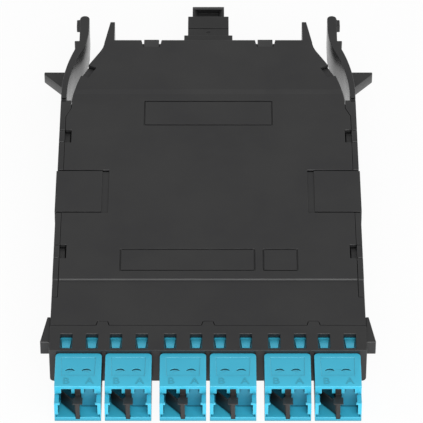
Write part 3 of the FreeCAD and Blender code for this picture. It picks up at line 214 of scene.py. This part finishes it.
class Effects:
    """Shader node groups that several finishes share. Each is built once."""

    def __init__(self) -> None:
        """Builds every group."""
        self.wear_and_highlight = self._worn_and_highlit_edges()
        self.grain = self._moulded_grain()
        self.shade = self._corner_shade()
        self.marks = self._handling_marks()
        self.sides = self._upright_faces()

    @staticmethod
    def _group(name: str, inputs: Dict[str, float],
               outputs: Sequence[str]) -> Tuple[Sheet, bpy.types.Node, bpy.types.Node]:
        """Starts a group with named sockets.

        Args:
            name: the group's name.
            inputs: each number input and its default; "Vector" is a vector input.
            outputs: the names of the value outputs.

        Returns:
            The sheet, the group's input node and its output node.
        """
        tree = bpy.data.node_groups.new(name, "ShaderNodeTree")
        for title, value in inputs.items():
            kind = "NodeSocketVector" if title == "Vector" else "NodeSocketFloat"
            socket = tree.interface.new_socket(title, in_out="INPUT", socket_type=kind)
            if title != "Vector":
                socket.default_value = value
        for title in outputs:
            tree.interface.new_socket(title, in_out="OUTPUT", socket_type="NodeSocketFloat")
        sheet = Sheet(tree)
        return sheet, sheet.add("NodeGroupInput"), sheet.add("NodeGroupOutput")

    def _worn_and_highlit_edges(self) -> bpy.types.NodeTree:
        """A mask of the outer edges, broken up in patches. It lightens them partly as wear and
        partly as a painted highlight where rounded edges catch the light.
        """
        sheet, given, result = self._group(
            "worn_edges", {"Vector": 0.0, "Reach": 0.0003, "Amount": 1.0}, ["Mask"])
        rounded = sheet.add("ShaderNodeBevel", samples=4)
        sheet.feed(rounded.inputs["Radius"], given.outputs["Reach"])
        surface = sheet.add("ShaderNodeNewGeometry")
        turn = sheet.add("ShaderNodeVectorMath", operation="DOT_PRODUCT")
        sheet.feed(turn.inputs[0], rounded.outputs["Normal"])
        sheet.feed(turn.inputs[1], surface.outputs["True Normal"])
        flat, sharp = 0.985, 0.9
        edge = sheet.spread(turn.outputs["Value"], flat, sharp)
        patch_scale, least_wear = 420.0, 0.45
        patches = sheet.spread(sheet.noise(given.outputs["Vector"], patch_scale),
                               *NOISE_SPAN, least_wear, 1.0)
        worn_and_highlit = sheet.maths("MULTIPLY", edge, patches)
        sheet.feed(result.inputs["Mask"], sheet.maths("MULTIPLY", worn_and_highlit, given.outputs["Amount"]))
        return sheet.tree

    def _moulded_grain(self) -> bpy.types.NodeTree:
        """The fine grain of a moulded surface, and the slow changes of tone across it."""
        sheet, given, result = self._group(
            "moulded_grain", {"Vector": 0.0, "Grain": 5000.0, "Flow": 60.0}, ["Height", "Tone"])
        fine = sheet.noise(given.outputs["Vector"], given.outputs["Grain"], 2.0)
        slow = sheet.noise(given.outputs["Vector"], given.outputs["Flow"], 4.0)
        sheet.feed(result.inputs["Height"], fine)
        sheet.feed(result.inputs["Tone"], sheet.spread(slow, *NOISE_SPAN))
        return sheet.tree

    def _corner_shade(self) -> bpy.types.NodeTree:
        """A painted shade mask from ambient occlusion: it darkens inner corners, narrow seams and
        the deep hollows of the ports, where shade falls.
        """
        sheet, given, result = self._group(
            "corner_shade", {"Reach": 0.0005, "Closed": 0.4}, ["Mask"])
        closed = sheet.add("ShaderNodeAmbientOcclusion", samples=8, only_local=False)
        sheet.feed(closed.inputs["Distance"], given.outputs["Reach"])
        free = 0.92
        sheet.feed(result.inputs["Mask"], sheet.spread(
            closed.outputs["AO"], free, given.outputs["Closed"]))
        return sheet.tree

    def _handling_marks(self) -> bpy.types.NodeTree:
        """Faint rubbed patches and hair-fine scuffs that change the gloss."""
        sheet, given, result = self._group(
            "handling_marks", {"Vector": 0.0, "Amount": 1.0}, ["Mask"])
        patch_scale, patch_span, patch_share = 140.0, (0.5, 0.7), 0.6
        rubbed = sheet.spread(sheet.noise(given.outputs["Vector"], patch_scale, 5.0), *patch_span)
        stretch = sheet.add("ShaderNodeMapping")
        stretch.inputs["Scale"].default_value = (1.0, 0.06, 1.0)
        stretch.inputs["Rotation"].default_value = (0.0, 0.0, 0.5)
        sheet.feed(stretch.inputs["Vector"], given.outputs["Vector"])
        hair_scale, hair_span = 2600.0, (0.68, 0.74)
        hairs = sheet.spread(sheet.noise(stretch.outputs["Vector"], hair_scale, 2.0), *hair_span)
        both = sheet.maths("MAXIMUM", sheet.maths("MULTIPLY", rubbed, patch_share), hairs)
        sheet.feed(result.inputs["Mask"], sheet.maths("MULTIPLY", both, given.outputs["Amount"]))
        return sheet.tree

    def _upright_faces(self) -> bpy.types.NodeTree:
        """A mask of the upright faces, which the mould leaves smoother than the tops."""
        sheet, given, result = self._group("upright_faces", {"Vector": 0.0}, ["Mask"])
        parts = sheet.add("ShaderNodeSeparateXYZ")
        sheet.feed(parts.inputs[0], given.outputs["Vector"])
        tilt = sheet.maths("ABSOLUTE", parts.outputs["Z"])
        level, steep = 0.8, 0.5
        sheet.feed(result.inputs["Mask"], sheet.spread(tilt, level, steep))
        return sheet.tree


# ---------------------------------------------------------------- finishes

@dataclass(frozen=True)
class Finish:
    """A moulded or ground finish: two tones of one colour, painted shade in its inner corners,
    seams and hollows, lighter edges that are partly wear and partly painted highlight, a fine
    grain, and marks from handling."""

    name: str
    colour: Colour
    deep: Colour
    worn_and_highlit: Colour
    smooth: float = 0.42
    rough: float = 0.52
    grain: float = 5200.0
    grain_height: float = 0.000004
    wear_and_highlight: float = 0.5
    reach: float = 0.0003
    specular: float = 0.5
    coat: float = 0.0
    shade: float = 0.6
    shade_reach: float = 0.0006
    side_reach: float = 0.0006
    closed: float = 0.4
    marks: float = 0.5
    side_rough: float = 0.27

    def material(self, effects: Effects) -> bpy.types.Material:
        """Builds the finish.

        Args:
            effects: the shared node groups.

        Returns:
            The material.
        """
        made = bpy.data.materials.new(self.name)
        made.use_nodes = True
        sheet = Sheet(made.node_tree)
        shader = sheet.add("ShaderNodeBsdfPrincipled")
        shader.inputs["Specular IOR Level"].default_value = self.specular
        shader.inputs["Coat Weight"].default_value = self.coat
        output = sheet.add("ShaderNodeOutputMaterial")
        sheet.feed(output.inputs["Surface"], shader.outputs["BSDF"])
        points = sheet.add("ShaderNodeTexCoord")
        where = points.outputs["Object"]
        grain = sheet.effect(effects.grain, Vector=where, Grain=self.grain)
        wear_and_highlight = sheet.effect(effects.wear_and_highlight, Vector=where, Reach=self.reach, Amount=self.wear_and_highlight)
        upright = sheet.effect(effects.sides, Vector=points.outputs["Normal"])
        shade_reach = sheet.spread(
            upright.outputs["Mask"], 0.0, 1.0, self.shade_reach, self.side_reach)
        corners = sheet.effect(effects.shade, Reach=shade_reach, Closed=self.closed)
        marks = sheet.effect(effects.marks, Vector=where, Amount=self.marks)
        body = sheet.blend(grain.outputs["Tone"], self.colour, self.deep)
        # Edges get the lighter colour, partly as wear and partly as painted highlight.
        rubbed = sheet.blend(wear_and_highlight.outputs["Mask"], body, self.worn_and_highlit)
        # Painted shade: where the corner mask is high, the colour turns to a darkened deep tone.
        dark = tuple(part * (1.0 - self.shade) for part in self.deep)
        sheet.feed(shader.inputs["Base Color"],
                   sheet.blend(corners.outputs["Mask"], rubbed, dark))
        top = sheet.spread(grain.outputs["Tone"], 0.0, 1.0, self.smooth, self.rough)
        even = sheet.spread(upright.outputs["Mask"], 0.0, 1.0, top, self.side_rough)
        gloss = sheet.maths("MULTIPLY", marks.outputs["Mask"], MARK_GLOSS)
        sheet.feed(shader.inputs["Roughness"], sheet.maths("SUBTRACT", even, gloss))
        bump = sheet.add("ShaderNodeBump")
        bump.inputs["Strength"].default_value = GRAIN_RELIEF
        bump.inputs["Distance"].default_value = self.grain_height
        sheet.feed(bump.inputs["Height"], grain.outputs["Height"])
        sheet.feed(shader.inputs["Normal"], bump.outputs["Normal"])
        return made


class Wardrobe:
    """Every finish of the cassette, built once."""

    def __init__(self) -> None:
        """Builds the shared effects and the materials."""
        effects = Effects()
        # In every finish, the third colour lightens the edges partly as wear and partly as
        # painted highlight, and the shade settings paint shade into corners, seams and hollows.
        self.shell = Finish(
            "black_shell_plastic", linear(40, 40, 40), linear(37, 37, 38),
            linear(72, 72, 72), wear_and_highlight=0.45).material(effects)
        # The aqua's light edge colour paints highlights on the adapters' rims, and its strong,
        # far-reaching corner shade paints the deep shade inside the ports.
        self.aqua = Finish(
            "aqua_moulding", linear(62, 184, 215), linear(58, 180, 212),
            linear(130, 222, 240), smooth=0.32, rough=0.4, grain_height=0.000002,
            wear_and_highlight=0.8, reach=0.00015, shade=0.92, shade_reach=0.0005,
            side_reach=0.005, closed=0.34, side_rough=0.33).material(effects)
        # The shutter leaf in port A is a darker aqua than the adapters: painted shade, for it
        # stands in the shade inside the port.
        self.leaf = Finish(
            "aqua_leaf_plastic", linear(38, 126, 152), linear(36, 122, 148),
            linear(70, 165, 190), smooth=0.32, rough=0.4, grain_height=0.000002,
            wear_and_highlight=0.3, reach=0.00015, side_rough=0.4).material(effects)
        # The letters are a darker aqua than the adapter tops: painted shade along their moulded
        # edges.
        self.lettering = Finish(
            "aqua_lettering", linear(54, 166, 194), linear(52, 162, 190),
            linear(80, 190, 212), smooth=0.35, rough=0.42).material(effects)
        # The insert's strong corner shade paints deep shade on the divider and on the leaf in
        # port B.
        self.insert = Finish(
            "black_insert_plastic", linear(42, 41, 40), linear(38, 37, 37),
            linear(70, 69, 68), smooth=0.4, rough=0.5, reach=0.00015, shade=0.8,
            side_reach=0.004, closed=0.25, side_rough=0.4).material(effects)
        self.adapter = Finish(
            "black_adapter_plastic", linear(32, 32, 32), linear(28, 28, 28),
            linear(80, 80, 80), smooth=0.36, rough=0.46).material(effects)
        self.cap = Finish(
            "soft_cap_plastic", linear(30, 30, 30), linear(26, 26, 27),
            linear(60, 60, 60), smooth=0.5, rough=0.62).material(effects)
        self.boot = Finish(
            "boot_rubber", linear(40, 40, 41), linear(34, 34, 35),
            linear(60, 60, 60), smooth=0.6, rough=0.75).material(effects)
        self.ceramic = Finish(
            "white_zirconia", linear(236, 234, 226), linear(230, 227, 218),
            linear(250, 249, 245), smooth=0.12, rough=0.2, grain_height=0.000001,
            wear_and_highlight=0.2).material(effects)
        self.jacket = Finish(
            "aqua_jacket", linear(70, 180, 190), linear(62, 170, 182),
            linear(110, 205, 212), smooth=0.4, rough=0.5, wear_and_highlight=0.0).material(effects)


# ---------------------------------------------------------------- mesh helpers

def merged_copy(node: str) -> bpy.types.Object:
    """Copies a construction node's mesh and joins its loose triangles into clean faces.

    Args:
        node: the node's name.

    Returns:
        The new object, linked to the scene.
    """
    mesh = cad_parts[node].data.copy()
    mesh.name = node + "_dressed"
    mesh.materials.clear()
    piece = bpy.data.objects.new(node + "_dressed", mesh)
    bpy.context.scene.collection.objects.link(piece)
    work = bmesh.new()
    work.from_mesh(mesh)
    bmesh.ops.remove_doubles(work, verts=work.verts, dist=WELD_GAP)
    bmesh.ops.dissolve_limit(work, angle_limit=FLUSH_TURN, verts=work.verts,
                             edges=work.edges, use_dissolve_boundaries=False)
    work.to_mesh(mesh)
    work.free()
    return piece


def bake_modifiers(piece: bpy.types.Object) -> None:
    """Turns an object and its modifiers into a plain mesh.

    Args:
        piece: the object.
    """
    scene_view = bpy.context.evaluated_depsgraph_get()
    final = bpy.data.meshes.new_from_object(piece.evaluated_get(scene_view))
    piece.modifiers.clear()
    piece.data = final


def free_width(edge: bmesh.types.BMEdge, width: float) -> float:
    """Finds how far an edge's rounding may reach before it meets the next edges.

    Args:
        edge: the edge.
        width: the reach that is wanted.

    Returns:
        The reach that fits.
    """
    share, least_turn = 0.45, 0.2
    room = width / share
    along = (edge.verts[1].co - edge.verts[0].co).normalized()
    for corner in edge.verts:
        for beside in corner.link_edges:
            if beside is edge or not set(beside.link_faces) & set(edge.link_faces):
                continue
            reach = beside.other_vert(corner).co - corner.co
            across = reach.cross(along).length
            if across > reach.length * least_turn:
                room = min(room, across)
    return room * share


def round_edges(piece: bpy.types.Object, width: float, segments: int = 2,
                cut_faces: bool = False) -> None:
    """Rounds the sharp edges of a piece by what fits.

    Args:
        piece: the object.
        width: how far the rounding reaches from an edge.
        segments: faces across the rounding.
        cut_faces: whether the large faces are cut into triangles first, as pieces with
            holes in their faces need.
    """
    work = bmesh.new()
    work.from_mesh(piece.data)
    share = work.edges.layers.float.new("bevel_weight_edge")
    for edge in work.edges:
        if len(edge.link_faces) == 2 and edge.calc_face_angle() > EDGE_TURN:
            edge[share] = min(free_width(edge, width) / width, 1.0)
    if cut_faces:
        large = [face for face in work.faces if len(face.verts) > 4]
        bmesh.ops.triangulate(work, faces=large)
    low = Vector([min(v.co[axis] for v in work.verts) for axis in range(3)])
    high = Vector([max(v.co[axis] for v in work.verts) for axis in range(3)])
    work.to_mesh(piece.data)
    work.free()
    bevel = piece.modifiers.new("round", "BEVEL")
    bevel.width = width
    bevel.segments = segments
    bevel.limit_method = "WEIGHT"
    bevel.use_clamp_overlap = False
    bake_modifiers(piece)
    for vertex in piece.data.vertices:
        for axis in range(3):
            vertex.co[axis] = min(max(vertex.co[axis], low[axis]), high[axis])
    keep_flats(piece)


def keep_flats(piece: bpy.types.Object) -> None:
    """Smooths the shading of the curves of a piece, and keeps its flat faces flat.

    Args:
        piece: the object.
    """
    work = bmesh.new()
    work.from_mesh(piece.data)
    for face in work.faces:
        face.smooth = True
    for edge in work.edges:
        if len(edge.link_faces) == 2:
            turn = edge.calc_face_angle(0.0)
            broad = max(face.calc_area() for face in edge.link_faces) > BROAD_FACE
            edge.smooth = turn < (FLAT_TURN if broad else CRISP_TURN)
    work.to_mesh(piece.data)
    work.free()


def dress(piece: bpy.types.Object, material: bpy.types.Material, body: str, slot: str,
          *nodes: str) -> None:
    """Gives a piece its finish, its body, and the nodes that it stands for.

    Args:
        piece: the object.
        material: its finish.
        body: the body that it rides on.
        slot: not used.
        *nodes: the construction nodes that it replaces.
    """
    piece.data.materials.clear()
    piece.data.materials.append(material)
    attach(piece, body)
    if nodes:
        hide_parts(*nodes)
    LOG.info("%s rides on %s, %d faces", piece.name, body, len(piece.data.polygons))


def refinish(node: str, material: bpy.types.Material) -> None:
    """Gives a carried-over node another finish.

    Args:
        node: the node's name.
        material: its finish.
    """
    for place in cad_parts[node].material_slots:
        place.material = material
    LOG.info("%s keeps its shape", node)


# ---------------------------------------------------------------- housing

@dataclass
class Housing:
    """The tray and its cover, with rounded edges."""

    tray_round: float = 0.18 * MM
    cover_round: float = 0.16 * MM

    def build(self, finishes: Wardrobe) -> None:
        """Dresses both mouldings.

        Args:
            finishes: the materials.
        """
        for node, width, pierced in (("base_shell", self.tray_round, True),
                                     ("top_cover", self.cover_round, False)):
            piece = merged_copy(node)
            round_edges(piece, width, cut_faces=pierced)
            dress(piece, finishes.shell, "housing", "shell", node)


class Side(Enum):
    """The two sides of the cassette, seen from the front."""

    LEFT = -1
    RIGHT = 1


@dataclass
class ReleaseArm:
    """A release arm and the root that joins it to the tray."""

    side: Side
    round: float = 0.28 * MM
    outside: float = 44.155 * MM
    inside: float = 42.445 * MM
    foot: float = 0.3 * MM
    root_start: float = 39.2 * MM
    tray_end: float = 39.75 * MM
    bend_line: float = 40.8 * MM
    root_end: float = 41.1 * MM
    tray_top: float = 12.2 * MM
    arm_top: float = 11.9 * MM

    def build(self, finishes: Wardrobe) -> None:
        """Dresses the arm and builds its root.

        Args:
            finishes: the materials.
        """
        name = self.side.name.lower()
        node = "release_arm_" + name
        piece = merged_copy(node)
        round_edges(piece, self.round, 3)
        dress(piece, finishes.shell, "arm_" + name, "shell", node)
        self._root(finishes, name)

    def _root(self, finishes: Wardrobe, name: str) -> None:
        """Builds the short wall between the tray and the arm.

        Args:
            finishes: the materials.
            name: the side's name.
        """
        work = bmesh.new()
        stations, crisp_turn, rings = 10, math.radians(40), []
        for step in range(stations + 1):
            place = self.root_start + (self.root_end - self.root_start) * step / stations
            top = self.tray_top if place < self.tray_end else self.arm_top
            rings.append([work.verts.new((x * self.side.value, place, z))
                          for x, z in self._section(top)])
        for ring, after in zip(rings, rings[1:]):
            for index in range(len(ring)):
                turn = (index + 1) % len(ring)
                work.faces.new((ring[index], ring[turn], after[turn], after[index]))
        work.faces.new(rings[0])
        work.faces.new(rings[-1])
        bmesh.ops.recalc_face_normals(work, faces=work.faces)
        mesh = bpy.data.meshes.new("arm_root_" + name)
        work.to_mesh(mesh)
        work.free()
        piece = bpy.data.objects.new("arm_root_" + name, mesh)
        bpy.context.scene.collection.objects.link(piece)
        for face in mesh.polygons:
            face.use_smooth = True
        mesh.set_sharp_from_angle(angle=crisp_turn)
        mesh.materials.append(finishes.shell)
        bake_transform(piece)
        LOG.info("%s bends between the tray and the arm", piece.name)

    def _section(self, top: float) -> Sequence[Tuple[float, float]]:
        """The rounded outline of the root, across its length.

        Args:
            top: its upper edge.

        Returns:
            Its points, each a distance from the centre line and a height.
        """
        radius, steps, points = self.round, 3, []
        for x, z, start in ((self.outside - radius, top - radius, 0),
                            (self.inside + radius, top - radius, 1),
                            (self.inside + radius, self.foot + radius, 2),
                            (self.outside - radius, self.foot + radius, 3)):
            for step in range(steps + 1):
                turn = math.pi / 2 * (start + step / steps)
                points.append((x + radius * math.cos(turn), z + radius * math.sin(turn)))
        return points


# ---------------------------------------------------------------- front ports

class Grown:
    """A Geometry Nodes tree that grows what repeats, from named inputs."""

    def __init__(self, name: str) -> None:
        """Starts the tree.

        Args:
            name: the tree's name, and the piece's.
        """
        self.name = name
        self.tree = bpy.data.node_groups.new(name, "GeometryNodeTree")
        self.sheet = Sheet(self.tree)
        self.values: Dict[str, object] = {}
        self.tree.interface.new_socket("Geometry", in_out="OUTPUT",
                                       socket_type="NodeSocketGeometry")
        self.given = self.sheet.add("NodeGroupInput")

    def size(self, title: str, value: float) -> bpy.types.NodeSocket:
        """Adds a named length to the tree's inputs.

        Args:
            title: the input's name.
            value: its length.

        Returns:
            The socket that gives it inside the tree.
        """
        socket = self.tree.interface.new_socket(title, in_out="INPUT",
                                                socket_type="NodeSocketFloat")
        self.values[socket.identifier] = value
        return self.given.outputs[title]

    def node(self, kind: str, inputs: Dict[str, object], **settings: object) -> bpy.types.Node:
        """Adds a node and fills its inputs.

        Args:
            kind: the node's type name.
            inputs: its inputs by name.
            **settings: its properties.

        Returns:
            The node.
        """
        made = self.sheet.add(kind, **settings)
        for title, source in inputs.items():
            self.sheet.feed(made.inputs[title], source)
        return made

    def point(self, x: object, y: object, z: object) -> bpy.types.NodeSocket:
        """Joins three numbers into a place.

        Args:
            x: across.
            y: to the rear.
            z: up.

        Returns:
            The place.
        """
        return self.node("ShaderNodeCombineXYZ", {"X": x, "Y": y, "Z": z}).outputs[0]

    def joined(self, *sources: bpy.types.NodeSocket) -> bpy.types.NodeSocket:
        """Joins several geometries.

        Args:
            *sources: the geometries.

        Returns:
            The joined geometry.
        """
        node = self.sheet.add("GeometryNodeJoinGeometry")
        for source in sources:
            self.sheet.feed(node.inputs[0], source)
        return node.outputs[0]

    def finish(self, geometry: bpy.types.NodeSocket,
               material: bpy.types.Material) -> bpy.types.Object:
        """Ends the tree and turns what it grows into a plain piece.

        Args:
            geometry: what the tree has grown.
            material: its finish.

        Returns:
            The piece, linked to the scene.
        """
        real = self.node("GeometryNodeRealizeInstances", {"Geometry": geometry})
        painted = self.node("GeometryNodeSetMaterial", {"Geometry": real.outputs[0],
                                                        "Material": material})
        output = self.sheet.add("NodeGroupOutput")
        self.sheet.feed(output.inputs["Geometry"], painted.outputs[0])
        piece = bpy.data.objects.new(self.name, bpy.data.meshes.new(self.name))
        bpy.context.scene.collection.objects.link(piece)
        grown = piece.modifiers.new("grown", "NODES")
        grown.node_group = self.tree
        for identifier, value in self.values.items():
            grown[identifier] = value
        bake_modifiers(piece)
        return piece


class PortLetter(Enum):
    """The letters on an adapter's top, and the side of its middle that each stands on."""

    B = -1
    A = 1


@dataclass
class PortLetters:
    """The raised port letters on the tops of the six duplex adapters."""

    group_pitch: float = 28.95 * MM
    pair_pitch: float = 13.85 * MM
    from_middle: float = 3.25 * MM
    height: float = 3.6 * MM
    place: float = -80.5 * MM
    sunk_top: float = 10.66 * MM
    proud: float = 0.09 * MM

    def build(self, finishes: Wardrobe) -> None:
        """Grows the letters and gives them their finish.

        Args:
            finishes: the materials.
        """
        grown = Grown("port_letters")
        group = grown.size("Group Pitch", self.group_pitch)
        pair = grown.size("Pair Pitch", self.pair_pitch)
        aside = grown.size("Letter From Middle", self.from_middle)
        place = grown.size("Letter Place", self.place)
        height = grown.size("Letter Height", self.height)
        top = grown.size("Sunk Top", self.sunk_top)
        proud = grown.size("Proud", self.proud)
        heads = self._heads(grown, group, pair)
        rows = []
        for letter in PortLetter:
            shape = self._shape(grown, letter, height, proud)
            moved = grown.node("GeometryNodeTransform", {
                "Geometry": shape,
                "Translation": grown.point(
                    grown.sheet.maths("MULTIPLY", aside, float(letter.value)), place, top)})
            spread = grown.node("GeometryNodeInstanceOnPoints", {
                "Points": heads, "Instance": moved.outputs[0]})
            rows.append(spread.outputs[0])
        piece = grown.finish(grown.joined(*rows), finishes.lettering)
        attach(piece, "housing")
        LOG.info("%s rides on housing, %d faces", piece.name, len(piece.data.polygons))

    @staticmethod
    def _heads(grown: Grown, group: bpy.types.NodeSocket,
               pair: bpy.types.NodeSocket) -> bpy.types.NodeSocket:
        """A point for the middle of each adapter: three groups of two.

        Args:
            grown: the tree.
            group: the distance between groups.
            pair: the distance between the two adapters of a group.

        Returns:
            The points.
        """
        lines = []
        for count, pitch in ((3, group), (2, pair)):
            half = grown.sheet.maths("MULTIPLY", pitch, -(count - 1) / 2)
            lines.append(grown.node("GeometryNodeMeshLine", {
                "Count": count, "Start Location": grown.point(half, 0.0, 0.0),
                "Offset": grown.point(pitch, 0.0, 0.0)}).outputs[0])
        spread = grown.node("GeometryNodeInstanceOnPoints", {
            "Points": lines[0], "Instance": lines[1]})
        return grown.node("GeometryNodeRealizeInstances",
                          {"Geometry": spread.outputs[0]}).outputs[0]

    @staticmethod
    def _shape(grown: Grown, letter: PortLetter, height: bpy.types.NodeSocket,
               proud: bpy.types.NodeSocket) -> bpy.types.NodeSocket:
        """A solid letter, lying flat about its own middle.

        Args:
            grown: the tree.
            letter: the letter.
            height: its height.
            proud: its thickness.

        Returns:
            The letter's mesh.
        """
        text = grown.node("GeometryNodeStringToCurves", {
            "String": letter.name, "Size": height}, align_x="CENTER", align_y="MIDDLE")
        curve = grown.node("GeometryNodeRealizeInstances", {"Geometry": text.outputs[0]})
        face = grown.node("GeometryNodeFillCurve", {"Curve": curve.outputs[0]})
        raised = grown.node("GeometryNodeExtrudeMesh", {
            "Mesh": face.outputs[0], "Offset Scale": proud, "Individual": False})
        under = grown.node("GeometryNodeFlipFaces", {"Mesh": face.outputs[0]})
        both = grown.joined(raised.outputs[0], under.outputs[0])
        return grown.node("GeometryNodeMergeByDistance", {
            "Geometry": both, "Distance": 0.001 * MM}).outputs[0]


@dataclass
class FrontPort:
    """One duplex adapter with its divider and its two shutters."""

    number: int
    head_round: float = 0.12 * MM
    insert_round: float = 0.05 * MM

    def build(self, finishes: Wardrobe) -> None:
        """Dresses the adapter and what stands in its mouth.

        Args:
            finishes: the materials.
        """
        pieces = (
            ("lc_adapter", "housing", finishes.aqua, "aqua_plastic", self.head_round),
            ("port_divider", "housing", finishes.insert, "black_insert", self.insert_round),
            ("shutter_a", "leaf_a_%d" % self.number, finishes.leaf, "aqua_plastic",
             self.insert_round),
            ("shutter_b", "leaf_b_%d" % self.number, finishes.insert, "black_insert",
             self.insert_round))
        for name, body, finish, slot, width in pieces:
            node = "%s_%d" % (name, self.number)
            piece = merged_copy(node)
            round_edges(piece, width, cut_faces=name == "lc_adapter")
            dress(piece, finish, body, slot, node)
        refinish("alignment_sleeves_%d" % self.number, finishes.ceramic)
        refinish("lc_ferrules_%d" % self.number, finishes.ceramic)
        refinish("lc_plug_%d" % self.number, finishes.aqua)


# ---------------------------------------------------------------- rear port and fibres

@dataclass
class RearPort:
    """The two halves of the rear adapter, the dust cap and the plug inside."""

    round: float = 0.16 * MM

    def build(self, finishes: Wardrobe) -> None:
        """Dresses the adapter, its cap and its plug.

        Args:
            finishes: the materials.
        """
        for node, body, finish, slot in (
                ("mpo_adapter_outer", "housing", finishes.adapter, "adapter_black"),
                ("mpo_adapter_inner", "housing", finishes.adapter, "adapter_black"),
                ("mpo_dust_cap", "dust_cap", finishes.cap, "cap_black")):
            piece = merged_copy(node)
            round_edges(piece, self.round)
            dress(piece, finish, body, slot, node)
        refinish("mpo_plug", finishes.aqua)
        refinish("mpo_ferrule", finishes.insert)
        refinish("mpo_boot", finishes.boot)


@dataclass
class FibreRun:
    """The trunk, the fan-out block, the fibres and the boots inside the tray."""

    def build(self, finishes: Wardrobe) -> None:
        """Dresses the fibres.

        Args:
            finishes: the materials.
        """
        refinish("fibre_trunk", finishes.jacket)
        refinish("fibre_fan", finishes.jacket)
        refinish("fan_out_block", finishes.insert)
        refinish("lc_boots", finishes.boot)


# ---------------------------------------------------------------- studio

@dataclass
class Studio:
    """A plain pale floor, soft light and the camera."""

    camera_place: Place = (0.00097, -0.8146, 0.7107)
    camera_tilt: float = 49.0
    lens: float = 313.3
    sky: float = 0.56
    key_place: Place = (0.3, -1.12, 0.38)
    key_power: float = 20.0
    key_size: float = 1.5
    floor_size: float = 14.0
    floor_drop: float = 0.05 * MM
    floor_paint: float = 0.9
    floor_glow: float = 0.94
    sensor_mm: float = 36.0
    far_end: float = 20.0

    def build(self) -> None:
        """Builds the floor, the light and the camera."""
        self._floor()
        self._world()
        self._key()
        self._camera()

    def _floor(self) -> None:
        """A wide pale floor just under the cassette."""
        bpy.ops.mesh.primitive_plane_add(size=self.floor_size,
                                         location=(0, 0, -self.floor_drop))
        floor = bpy.context.active_object
        floor.name = "studio_floor"
        made = bpy.data.materials.new("studio_floor")
        made.use_nodes = True
        sheet = Sheet(made.node_tree)
        paint = sheet.add("ShaderNodeBsdfDiffuse")
        paint.inputs["Color"].default_value = (*(self.floor_paint,) * 3, 1.0)
        glow = sheet.add("ShaderNodeEmission")
        glow.inputs["Color"].default_value = WHITE
        rays = sheet.add("ShaderNodeLightPath")
        seen = sheet.maths("MAXIMUM", rays.outputs["Is Camera Ray"],
                           rays.outputs["Is Glossy Ray"])
        share = sheet.maths("MULTIPLY", seen, self.floor_glow)
        mixed = sheet.add("ShaderNodeMixShader")
        sheet.feed(mixed.inputs[0], share)
        sheet.feed(mixed.inputs[1], paint.outputs[0])
        sheet.feed(mixed.inputs[2], glow.outputs[0])
        output = sheet.add("ShaderNodeOutputMaterial")
        sheet.feed(output.inputs["Surface"], mixed.outputs[0])
        floor.data.materials.append(made)

    def _world(self) -> None:
        """An even sky. It is white where the camera sees it."""
        world = bpy.data.worlds.new("studio_sky")
        world.use_nodes = True
        bpy.context.scene.world = world
        sheet = Sheet(world.node_tree)
        rays = sheet.add("ShaderNodeLightPath")
        sky = sheet.add("ShaderNodeBackground")
        sky.inputs["Color"].default_value = WHITE
        sheet.feed(sky.inputs["Strength"], sheet.maths(
            "MAXIMUM", rays.outputs["Is Camera Ray"], self.sky))
        output = sheet.add("ShaderNodeOutputWorld")
        sheet.feed(output.inputs["Surface"], sky.outputs[0])

    def _key(self) -> None:
        """One large soft lamp, low in front and to the right."""
        lamp = bpy.data.lights.new("key_lamp", "AREA")
        lamp.shape = "DISK"
        lamp.size = self.key_size
        lamp.energy = self.key_power
        key = bpy.data.objects.new("key_lamp", lamp)
        key.location = self.key_place
        key.rotation_euler = (-key.location).to_track_quat("-Z", "Y").to_euler()
        bpy.context.scene.collection.objects.link(key)

    def _camera(self) -> None:
        """The main view, from the front and above."""
        lens = bpy.data.cameras.new("main_view")
        lens.lens = self.lens
        lens.sensor_width = self.sensor_mm
        lens.clip_end = self.far_end
        view = bpy.data.objects.new("main_view", lens)
        view.location = self.camera_place
        view.rotation_euler = (math.radians(self.camera_tilt), 0, 0)
        bpy.context.scene.collection.objects.link(view)
        bpy.context.scene.camera = view


# ---------------------------------------------------------------- main


def main() -> None:
    """Builds every sub-assembly in order."""
    logging.basicConfig(level=logging.INFO)
    bpy.context.scene.view_settings.view_transform = "Standard"
    Studio().build()
    finishes = Wardrobe()
    Housing().build(finishes)
    for side in Side:
        ReleaseArm(side).build(finishes)
    for number in range(1, PORTS + 1):
        FrontPort(number).build(finishes)
    PortLetters().build(finishes)
    RearPort().build(finishes)
    FibreRun().build(finishes)


if __name__ == "__main__":
    main()
